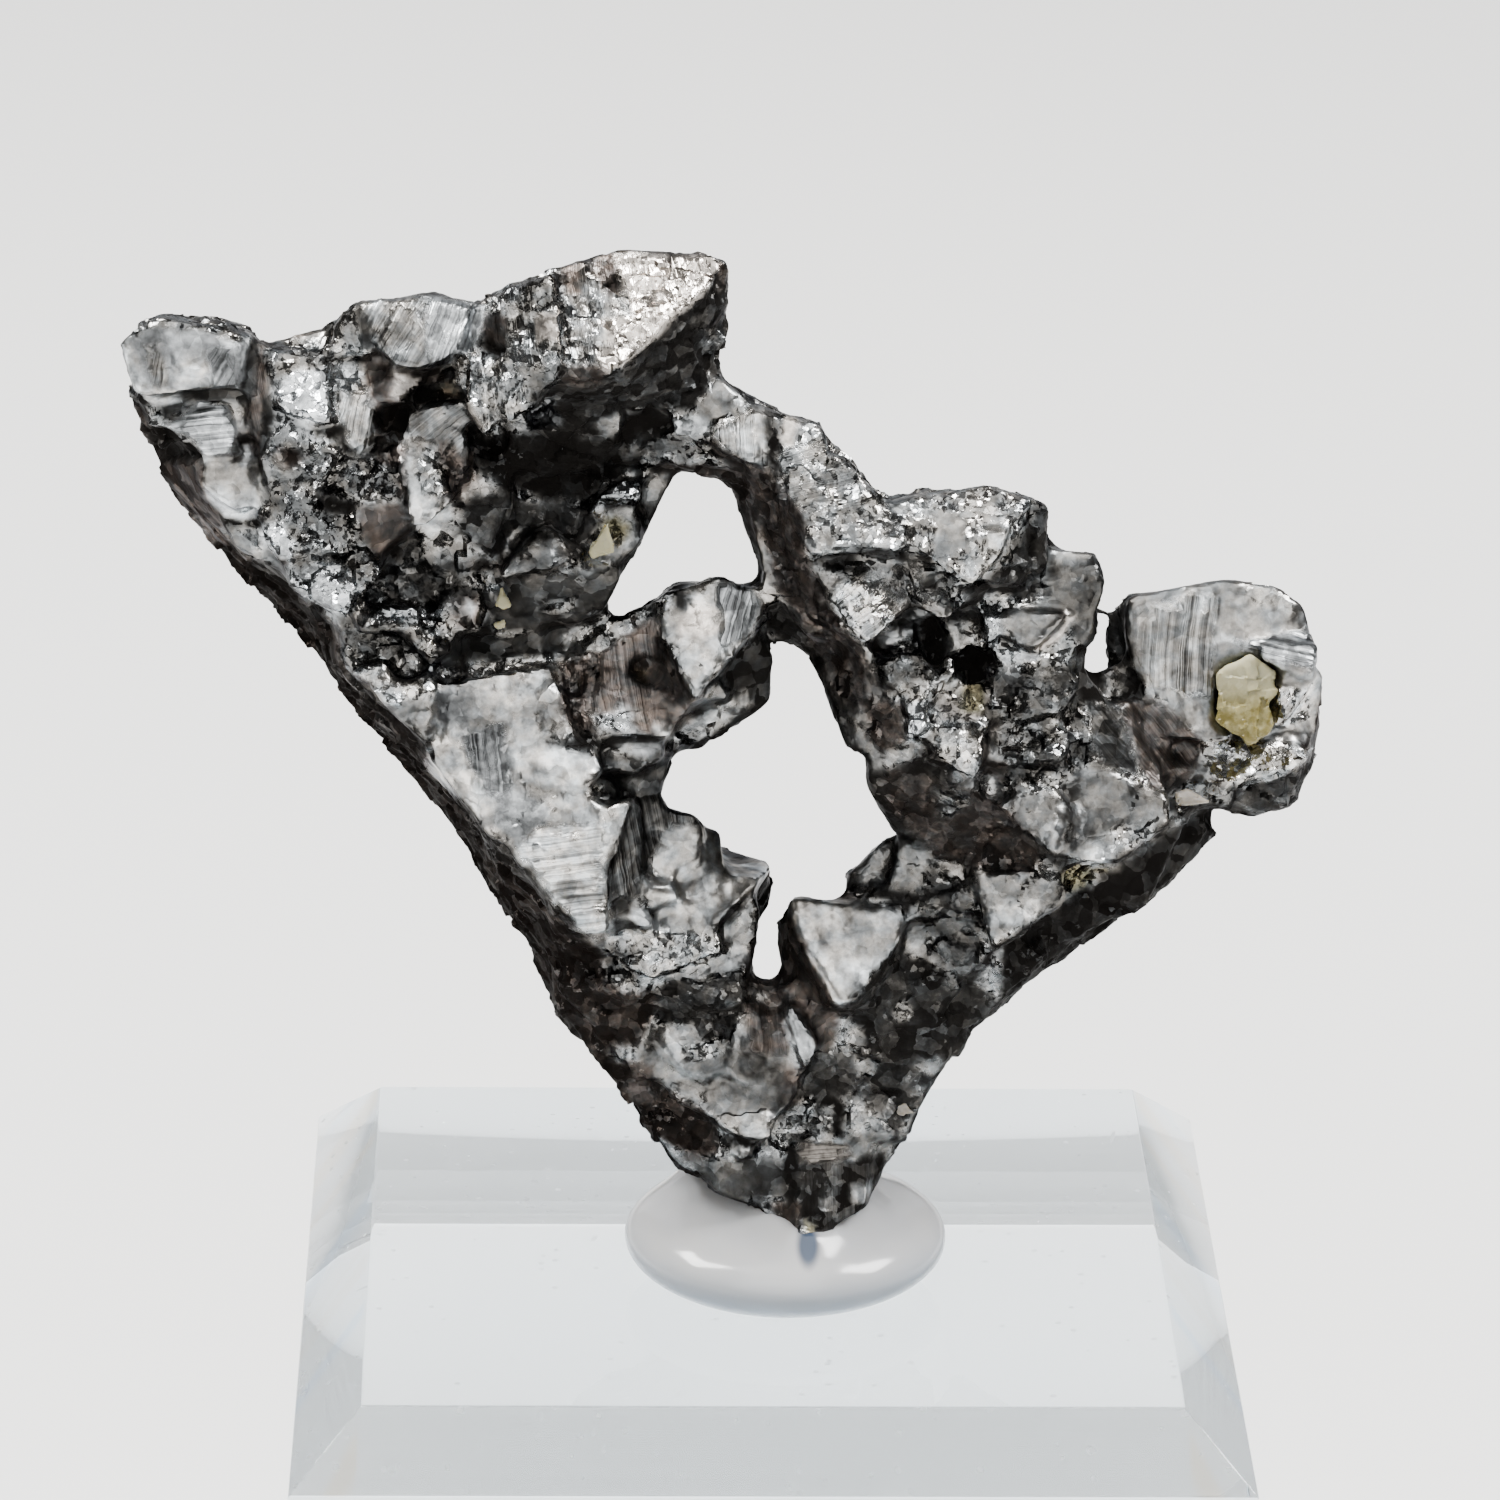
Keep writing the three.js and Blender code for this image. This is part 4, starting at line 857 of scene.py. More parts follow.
@dataclass(frozen=True)
class ClearAcrylicFinish:
    """Clear cast acrylic with a little dust and painted colour fringes. The bevels' place is in
    millimetres.
    """

    clear: Colour = (0.985, 0.99, 0.99)
    dusty: Colour = (0.50, 0.50, 0.50)
    amber: Colour = (1.00, 0.80, 0.58)
    blue: Colour = (0.66, 0.80, 1.00)
    depth_tint: Colour = (0.74, 0.82, 0.88)
    depth_density: float = 22.0
    bevel_aside: Spot = (13.55, 13.75)
    bevel_height: Spot = (16.7, 16.9)
    fringe_strength: float = 0.8

    def material(self) -> Material:
        """The finish as a material.

        Returns:
            The new material.
        """
        material, tree, shader, place = new_material("clear_acrylic")
        dust = SharedEffect.SPECKS.add_to(tree, Place=place, Spacing=0.45, Width=0.11, Share=0.30)
        fill(tree, shader, {
            "Base Color": blended(tree, dust.outputs["Mask"], self.painted_fringes(tree, place), self.dusty),
            "Roughness": sum_of(tree, "MULTIPLY_ADD", dust.outputs["Mask"], 0.5, 0.01),
            "IOR": 1.49,
            "Transmission Weight": 1.0,
        })
        absorb = put(tree, "ShaderNodeVolumeAbsorption", {
            "Color": self.depth_tint, "Density": self.depth_density})
        out = next(node for node in tree.nodes if node.type == "OUTPUT_MATERIAL")
        tree.links.new(absorb.outputs[0], out.inputs["Volume"])
        see_through = put(tree, "ShaderNodeBsdfTransparent")
        shadow = put(tree, "ShaderNodeLightPath")
        mixed = put(tree, "ShaderNodeMixShader", {
            0: shadow.outputs["Is Shadow Ray"], 1: shader.outputs[0], 2: see_through.outputs[0]})
        tree.links.new(mixed.outputs[0], out.inputs["Surface"])
        return material

    def painted_fringes(self, tree: Tree, place: Socket) -> Socket:
        """Clear, with faint amber and blue bands of painted dispersed light on the two side bevels.

        Args:
            tree: the material's node tree.
            place: the place on the block.

        Returns:
            The colour's socket.
        """
        axes = put(tree, "ShaderNodeSeparateXYZ", {0: place})
        aside = sum_of(tree, "ABSOLUTE", axes.outputs[0])
        bevel = sum_of(tree, "MULTIPLY", ranged(tree, aside, *self.bevel_aside),
                       ranged(tree, axes.outputs[2], *self.bevel_height))
        along = sum_of(tree, "MULTIPLY_ADD", axes.outputs[1], 0.22, sum_of(tree, "MULTIPLY", aside, 0.35))
        bands = put(tree, "ShaderNodeTexNoise", {"W": along, "Scale": 1.0, "Detail": 2.0},
                    noise_dimensions="1D")
        strongest = self.fringe_strength
        # Painted light: amber and blue fringes of dispersed light on the bevels.
        amber = sum_of(tree, "MULTIPLY", bevel, ranged(tree, bands.outputs[0], 0.54, 0.66, 0.0, strongest))
        blue = sum_of(tree, "MULTIPLY", bevel, ranged(tree, bands.outputs[0], 0.46, 0.34, 0.0, strongest))
        tint = blended(tree, amber, self.clear, self.amber)
        return blended(tree, blue, tint, self.blue)


@dataclass(frozen=True)
class GrainFinish:
    """A small grain of pale mineral, paler towards its top. The heights are in millimetres."""

    name: str
    light: Colour
    dark: Colour
    top: Colour
    pale_from: float = 39.8
    pale_to: float = 41.2
    pale_share: float = 0.85

    def material(self) -> Material:
        """The finish as a material.

        Returns:
            The new material.
        """
        material, tree, shader, place = new_material(self.name)
        tone = SharedEffect.MOTTLE.add_to(
            tree, Place=place, Size=0.35, Detail=5.0, First=self.dark, Second=self.light)
        normal = put(tree, "ShaderNodeNewGeometry").outputs["Normal"]
        facets = SharedEffect.FACETS.add_to(tree, Place=place, Normal=normal, Size=0.22, Tilt=0.35)
        height = put(tree, "ShaderNodeSeparateXYZ", {0: place}).outputs[2]
        paler = ranged(tree, height, self.pale_from, self.pale_to, 0.0, self.pale_share)
        fill(tree, shader, {
            "Base Color": blended(tree, paler, tone.outputs["Color"], self.top),
            "Roughness": sum_of(tree, "MULTIPLY_ADD", tone.outputs["Mask"], 0.2, 0.3),
            "Specular IOR Level": 0.25,
            "Subsurface Weight": 0.5,
            "Subsurface Radius": (1.0, 0.8, 0.4),
            "Subsurface Scale": 0.0004,
            "Normal": facets.outputs["Normal"],
        })
        return material


@dataclass(frozen=True)
class PaleFloorFinish:
    """The studio's plain pale floor."""

    paint: Colour = (0.62, 0.62, 0.615)

    def material(self) -> Material:
        """The finish as a material.

        Returns:
            The new material.
        """
        material, tree, shader, _ = new_material("pale_floor")
        fill(tree, shader, {"Base Color": self.paint, "Roughness": 0.85})
        return material


# Marks on the specimen


class Surface(Enum):
    """How broken a face is: its share of the full relief."""

    SMOOTH = 0.08
    SATIN = 0.26
    GRAINY = 0.65
    BROKEN = 1.0


class Film(Enum):
    """The tint of a face, as its warmth, brown and yellow."""

    NONE = (0.0, 0.0, 0.0)
    COOL = (-1.0, 0.0, 0.0)
    WARM = (1.0, 0.0, 0.0)
    BROWN = (0.0, 1.0, 0.0)
    YELLOW = (0.0, 0.0, 1.0)
    RUST = (0.0, 1.0, 0.6)


# A face that is darker than this is a hollow, painted near-black as shade and pushed in. The looser a face
# is, the further its border wanders, in millimetres, and the softer it is.
HOLLOW_TONE = 0.07
HOLLOW_LOOSENESS = 1.6
EVEN_WANDER = 0.08
LOOSE_WANDER = 0.10


@dataclass(frozen=True)
class Face:
    """One face, stain or hollow on the front, outlined as it is seen from the front.

    The corners are in millimetres from the foot. Tone goes from 0, black, to 1, bright silver: it holds the
    metal's tarnish and brightness together with painted shade and painted highlights.
    Lines is the slant of the face's striations in degrees.
    """

    corners: tuple[Spot, ...]
    tone: float
    surface: Surface
    film: Film = Film.NONE
    lines: float | None = None

    def share(self, seen: np.ndarray, wobble: np.ndarray) -> np.ndarray:
        """How much each seen point belongs to the face.

        Args:
            seen: the points as they are seen from the front, one row of x and z each.
            wobble: numbers that make the face's border uneven.

        Returns:
            Numbers from 0 to 1.
        """
        corners = np.array(self.corners)
        gap = np.full(len(seen), np.inf)
        inside = np.zeros(len(seen), bool)
        for start, end in zip(corners, np.roll(corners, -1, axis=0)):
            edge = end - start
            away = seen - start
            along = np.clip(away @ edge / (edge @ edge), 0, 1)
            gap = np.minimum(gap, np.linalg.norm(away - along[:, None] * edge, axis=1))
            level = (start[1] > seen[:, 1]) != (end[1] > seen[:, 1])
            rise = edge[1] if edge[1] else 1.0
            inside ^= level & (seen[:, 0] < start[0] + (seen[:, 1] - start[1]) * edge[0] / rise)
        loose = HOLLOW_LOOSENESS if self.is_hollow() else self.surface.value
        depth = np.where(inside, gap, -gap) + (EVEN_WANDER + LOOSE_WANDER * loose) * wobble
        return smooth_step(-0.12 - 0.08 * loose, 0.05 + 0.10 * loose, depth)

    def is_hollow(self) -> bool:
        """Whether the face is so dark that it is a hollow."""
        return self.tone < HOLLOW_TONE

    def near(self, seen: np.ndarray) -> np.ndarray:
        """Which seen points are in the face's box or just outside it."""
        corners = np.array(self.corners)
        return ((seen > corners.min(axis=0) - 0.4) & (seen < corners.max(axis=0) + 0.4)).all(axis=1)


SMOOTH, SATIN, GRAINY, BROKEN = Surface
COOL, WARM, BROWN, YELLOW, RUST = list(Film)[1:]

# The tone of each face below paints the light and shade on it, from painted highlights to painted shade.
# The wall under the left side, painted dark as shade, then the left knob and the left arm's blocks and
# rubble.
LEFT_ARM = (
    Face(((-22.4, 31.8), (-21.1, 30.2), (-20.7, 29.2), (-20.2, 27.7), (-18.2, 26.2), (-17.5, 25.3),
          (-16.3, 24.4), (-15, 23), (-14.6, 21.3), (-13, 19.7), (-12.1, 18.4), (-10.7, 16.3), (-9.7, 14.9),
          (-8.4, 13.3), (-6.7, 12.2), (-5.9, 10.6), (-5, 8.8), (-4.2, 7), (-3.3, 4.8), (-5, 5.5), (-6.7, 8),
          (-8.2, 10.6), (-10, 13.8), (-12, 16.7), (-13.7, 19.5), (-15.7, 21.2), (-17.9, 24), (-19.9, 26.5),
          (-21.8, 29.9)), 0.075, BROKEN, BROWN),
    Face(((-21.8, 33.4), (-20.6, 34), (-17.8, 33.3), (-18, 31.7), (-18.3, 31.5), (-19.8, 31.5),
          (-20.9, 31.3), (-21.7, 32)), 0.62, SMOOTH, COOL),
    Face(((-20.4, 33.8), (-17.8, 33.4), (-17.8, 33.2), (-20.4, 33.3)), 1.0, SMOOTH, COOL),
    Face(((-21.2, 33.1), (-20.6, 33.1), (-20.5, 31.8), (-20.9, 31.6)), 0.5, SMOOTH, lines=80),
    Face(((-20, 32.8), (-19.3, 33), (-19, 32.3), (-19.6, 31.8), (-20.1, 31.8)), 0.92, SMOOTH),
    Face(((-19.2, 33), (-18.2, 33.1), (-18.3, 31.7), (-19, 31.6)), 0.52, SMOOTH, COOL,
          lines=60),
    Face(((-21.4, 31.8), (-19.8, 31.6), (-18.3, 31.6), (-18.3, 31.5), (-20.9, 31.2)), 0.8, SATIN),
    Face(((-22.2, 33.5), (-21.7, 33.5), (-21.5, 32.2), (-20.8, 31.4), (-21.1, 31.3), (-21.9, 32)), 1.0,
          SMOOTH),
    Face(((-21.5, 33.6), (-20.6, 34.3), (-18.7, 34), (-17.5, 33.5), (-17.8, 33.3), (-20.6, 33.9)), 0.5,
          GRAINY),
    Face(((-17.7, 33.3), (-17.4, 33.3), (-17.6, 31.8), (-17.8, 31.2), (-18.2, 31.3), (-18, 31.8)), 0.22,
          SMOOTH),
    Face(((-19.6, 31.7), (-18.1, 31.5), (-17.9, 31.2), (-19.6, 31.2), (-20.6, 30.6), (-20.7, 31)), 0.16,
          SMOOTH),
    Face(((-17.4, 33.2), (-17, 32.9), (-17.1, 31.8), (-17.2, 31), (-17.2, 29.9), (-17.4, 29.3),
          (-17.8, 29.6), (-17.8, 31.2), (-17.6, 31.8)), 0.42, SMOOTH, BROWN, lines=100),
    Face(((-17.3, 31.3), (-17.1, 31.2), (-17.2, 30.2), (-17.4, 29.4), (-17.5, 29.4)), 0.14, SMOOTH),
    Face(((-20.6, 30.4), (-19.5, 31.2), (-18.6, 31.1), (-18.2, 29.4), (-19.4, 29.3), (-19.7, 29.9)), 0.86,
          SMOOTH, COOL, lines=5),
    Face(((-21.1, 30.2), (-19.7, 29.8), (-19.4, 28.9), (-19.6, 28.5), (-20.6, 29.2)), 0.05, SATIN),
    Face(((-19.4, 29.3), (-17.8, 29.3), (-17.5, 28.8), (-17.5, 27.6), (-18.8, 27.7), (-19.4, 28.2)), 0.66,
          SMOOTH),
    Face(((-19.4, 28.3), (-18.5, 27.8), (-17.5, 27.6), (-17.6, 27.1), (-18.6, 27.3), (-19.3, 27.7)), 0.9,
          SATIN, COOL),
    Face(((-20.6, 29.1), (-19.6, 29.2), (-19.4, 28.1), (-18.6, 27.1), (-19.1, 26.7), (-20.2, 27.8)), 0.22,
          SATIN, BROWN),
    Face(((-20.3, 27.6), (-19.1, 27.1), (-18.2, 26.3), (-19.2, 26.5)), 0.34, GRAINY, BROWN,
          lines=150),
    Face(((-17.3, 33), (-16.2, 33.2), (-14.6, 32.6), (-16.2, 32.3), (-17, 31.6)), 0.5, GRAINY),
    Face(((-17.1, 31.4), (-16.5, 32.2), (-14.9, 32.5), (-14.1, 32.3), (-14.7, 31.2), (-15.1, 30.5),
          (-16.3, 30.4), (-16.8, 30.8)), 0.96, GRAINY, COOL),
    Face(((-16.8, 30.9), (-16.3, 30.3), (-15.1, 30.4), (-14.8, 29.8), (-16.3, 29.5), (-17, 29.9)), 0.62,
          GRAINY, COOL),
    Face(((-14.1, 32.6), (-13.4, 32.7), (-13.1, 32.1), (-13.3, 31.4), (-13.8, 31.3), (-14, 31.8)), 0.3,
          SMOOTH, BROWN),
    Face(((-14.9, 31.5), (-14, 31.6), (-13.7, 30.9), (-13.6, 29.9), (-14.3, 29.4), (-14.8, 30.2)), 0.74,
          SATIN, lines=80),
    Face(((-13.7, 31.3), (-13, 31.3), (-13.2, 30), (-13.6, 29.5)), 0.28, SATIN, BROWN),
    Face(((-17, 33.2), (-15.5, 33.3), (-14.6, 32.7), (-16.2, 32.5), (-17.1, 32.9)), 0.42, GRAINY),
    Face(((-15.1, 34.1), (-14.5, 34.7), (-14.1, 33.5), (-13.9, 33), (-14.6, 32.6), (-15.4, 33.2)), 0.6,
          GRAINY),
    Face(((-14.5, 34.8), (-12, 34.9), (-11.9, 32.5), (-13.1, 32.3), (-13.7, 33), (-14.2, 33.7)), 0.62,
          SATIN, lines=60),
    Face(((-12, 34.9), (-10.2, 34.5), (-10.3, 33.3), (-11, 32.8), (-11.9, 32.5)), 0.76, SATIN,
          COOL, lines=72),
    Face(((-14.5, 34.7), (-14.3, 34.7), (-13.9, 33.2), (-14.1, 33.1)), 0.18, SMOOTH),
    Face(((-13.7, 29.4), (-13.2, 30.4), (-12.8, 31.1), (-12, 31.7), (-10.9, 32.4), (-10.9, 31.3),
          (-12, 31.3), (-12.6, 30.8), (-13, 30), (-13.5, 29.3)), 0.03, SATIN),
    Face(((-11.7, 31.8), (-11, 32.1), (-11, 31.4), (-11.5, 31.4)), 0.3, SATIN, RUST),
    Face(((-14.8, 29.9), (-14.3, 29.4), (-13.6, 29.5), (-13.7, 29.3), (-14.6, 29.3)), 0.08, SATIN),
    Face(((-12.7, 30.8), (-12, 31.3), (-11, 31.3), (-10.4, 30), (-11, 29.3), (-11.8, 29.8), (-12.7, 30)),
          0.5, SATIN, lines=40),
    Face(((-12.8, 30), (-12.4, 29.5), (-11.8, 29.8), (-11.5, 28.2), (-12.1, 27.8), (-12.4, 28),
          (-12.6, 28.9)), 0.6, GRAINY),
    Face(((-12.8, 30), (-12.7, 30), (-12.3, 27.9), (-12.6, 27.8), (-12.7, 28.9)), 0.92, SATIN),
    Face(((-12.9, 27.7), (-12.1, 28), (-11.3, 27.9), (-11.3, 27.3), (-12, 26.8), (-12.6, 27)), 0.95,
          SATIN),
    Face(((-13.6, 29.6), (-12.8, 29.8), (-12.7, 28.6), (-12.9, 27.9), (-13.6, 28.2)), 0.33, GRAINY,
          BROWN, lines=100),
    Face(((-11.7, 30), (-11, 29.4), (-10.5, 28.9), (-10.7, 28.2), (-11.4, 28)), 0.34, GRAINY,
          BROWN),
    Face(((-14.2, 27.7), (-12.9, 27.8), (-12.6, 26.7), (-13.5, 25.9), (-14.2, 26.8)), 0.3, SMOOTH,
          BROWN),
    Face(((-17.2, 29.8), (-14.9, 29.6), (-13, 28.9), (-13.1, 27.9), (-14.3, 27.9), (-16.9, 28.6)), 0.44,
          BROKEN),
    Face(((-16.9, 28.4), (-14.3, 27.8), (-14.2, 26.3), (-16.3, 26.3), (-17.5, 27.4)), 0.46, BROKEN),
    Face(((-18.8, 27.3), (-17.4, 27.2), (-17.5, 26.9), (-18.7, 27)), 0.075, GRAINY),
    Face(((-18.7, 27), (-17.6, 26.8), (-17.5, 25.8), (-18.2, 26.1)), 0.62, GRAINY),
    Face(((-17.5, 26.8), (-16.9, 27.2), (-16.2, 26.2), (-16.6, 25.6), (-17.4, 26.3)), 0.86, GRAINY,
          COOL),
    Face(((-16.7, 26.3), (-14.2, 26.3), (-13.7, 25.7), (-13.9, 24.8), (-16.3, 25.3)), 0.4, BROKEN),
    Face(((-16.8, 25.3), (-15.6, 25.8), (-14.8, 25.7), (-14.2, 24.7), (-14.4, 24.2), (-15, 23.7),
          (-16.1, 24.4)), 0.8, GRAINY, COOL),
    Face(((-15.8, 30.3), (-14.8, 30.4), (-14.5, 30.1), (-14.9, 29.9), (-15.7, 29.9)), 0.08, GRAINY),
    Face(((-15.7, 28.1), (-14.6, 27.8), (-13.9, 27.9), (-14.6, 27.5), (-15.3, 27.6)), 0.08, GRAINY),
    Face(((-16.9, 29.5), (-16.1, 29.4), (-16.3, 29), (-16.9, 29.1)), 0.12, GRAINY, BROWN),
)

# The crest, its side face painted dark as shade, and the neck behind it.
CREST = (
    Face(((-10.2, 34.3), (-9.7, 35), (-8.7, 35.6), (-7.7, 36.1), (-6.5, 36.5), (-5.9, 36.3), (-5.6, 34.8),
          (-5.1, 32.9), (-6.3, 32.3), (-7.8, 32.5), (-9.7, 32.4), (-10.4, 33)), 0.55, GRAINY,
          lines=98),
    Face(((-6, 36.3), (-3.5, 36.3), (-2.4, 36.1), (-3.1, 35.1), (-4.3, 34), (-4.6, 33.3), (-5.1, 33),
          (-5.6, 35)), 0.93, GRAINY, WARM, lines=102),
    Face(((-6.7, 36.4), (-6.1, 36.4), (-5.9, 35), (-6.2, 34.8), (-6.6, 35.5)), 0.32, GRAINY,
          BROWN, lines=98),
    Face(((-7.7, 36), (-7.1, 36.1), (-7, 34.9), (-7.6, 34.9)), 0.3, SATIN, BROWN, lines=98),
    Face(((-10.2, 34.1), (-9.6, 34.1), (-9.6, 32.8), (-10.2, 33)), 0.26, SATIN, BROWN,
          lines=98),
    Face(((-9.1, 33.9), (-8.6, 33.9), (-8.5, 33), (-9.1, 33.1)), 0.4, GRAINY, lines=98),
    Face(((-8.5, 34.2), (-7.8, 34.2), (-7.8, 33.3), (-8.5, 33.3)), 0.92, SATIN, WARM),
    Face(((-9.7, 32.3), (-8.7, 32.3), (-8.2, 31.4), (-8.9, 30.5), (-9.6, 30.4), (-9.8, 31.3)), 0.72,
          GRAINY, lines=98),
    Face(((-11.1, 32.8), (-10.2, 33), (-9.7, 32.3), (-9.8, 31.3), (-9.7, 30), (-10.1, 30), (-10.6, 31.3),
          (-11.1, 32)), 0.8, GRAINY, lines=98),
    Face(((-6.3, 34.1), (-5.1, 34.2), (-5.1, 33.3), (-6.1, 33.3)), 0.82, GRAINY, WARM),
    Face(((-6.5, 33.1), (-5.1, 32.9), (-6.1, 32.2), (-6.4, 32.3)), 0.82, GRAINY, WARM),
    Face(((-10.3, 33.3), (-9.7, 33.1), (-9.7, 32.8), (-10.2, 32.8)), 0.06, GRAINY),
    Face(((-7.7, 32.5), (-6.3, 32.3), (-6.4, 31.6), (-7.8, 31.8)), 0.24, GRAINY, BROWN),
    Face(((-9.1, 32.5), (-7.7, 32.5), (-7.8, 31.9), (-8.7, 31.6)), 0.5, GRAINY),
    Face(((-4.7, 33.1), (-3.8, 34.1), (-3.1, 34.9), (-2.5, 35.6), (-2.2, 35.1), (-2.5, 33.7), (-2.5, 32.3),
          (-3.2, 31.2), (-5.1, 31), (-6.4, 31.1), (-6.4, 31.9), (-5.1, 32.5)), 0.15, BROKEN),
    Face(((-3.5, 34.2), (-2.5, 34.5), (-2.5, 33.3), (-3.4, 33.3)), 0.26, BROKEN),
    Face(((-2.5, 36), (-2.1, 35.7), (-2.2, 35.1), (-2.5, 35.2)), 0.36, GRAINY, BROWN),
    Face(((-8.7, 31.6), (-6.4, 31.7), (-6.4, 30), (-8.8, 29.8)), 0.1, BROKEN),
    Face(((-8.9, 31.2), (-8, 31.4), (-7.7, 30.7), (-8.7, 30.3)), 0.3, GRAINY, COOL),
    Face(((-10.4, 30), (-8.7, 30.2), (-5.8, 30), (-5.6, 28.3), (-7.7, 27.7), (-10.7, 28.9)), 0.08,
          BROKEN),
    Face(((-5.6, 31), (-4.5, 31), (-3.8, 30.6), (-4.8, 29.7), (-5.7, 29.6)), 0.04, SATIN),
    Face(((-2.8, 31.9), (-2.5, 32.3), (-1.6, 31.4), (-1.9, 31), (-2.6, 30.8), (-3.2, 30.7)), 0.5,
          SMOOTH),
    Face(((-4.1, 30.8), (-3.1, 30.9), (-2.7, 30.6), (-3.2, 30.1), (-4, 30.1)), 0.88, SATIN,
          COOL),
    Face(((-5.1, 29.8), (-4.1, 30.3), (-2.6, 30), (-2.7, 29.6), (-4.5, 29), (-5.1, 29)), 0.42,
          BROKEN),
    Face(((-2.7, 30.3), (-1.8, 31), (-1.1, 30.8), (-1.1, 28.7), (-1.7, 29.3), (-2.4, 29.8)), 0.86,
          SATIN, lines=92),
    Face(((-6.8, 27.9), (-6, 28.4), (-5.1, 28.5), (-5, 28), (-6.2, 27.6), (-6.7, 27.5)), 0.72,
          BROKEN, COOL),
    Face(((-6.4, 27.2), (-6, 27.4), (-5.5, 26.9), (-5.8, 26.5), (-6.2, 26.7)), 0.4, GRAINY,
          YELLOW),
    Face(((-7.9, 26.2), (-7.4, 26.4), (-7.1, 25.8), (-7.5, 25.6)), 0.75, GRAINY),
    Face(((-10.7, 28.2), (-7.7, 27.7), (-6.4, 27.2), (-7.1, 25.8), (-9.7, 25.8), (-11, 26.9)), 0.18,
          GRAINY),
    Face(((-9.7, 26.9), (-8.4, 27), (-7.7, 26.4), (-8.4, 25.3), (-9.5, 25.5)), 0.38, SATIN),
)

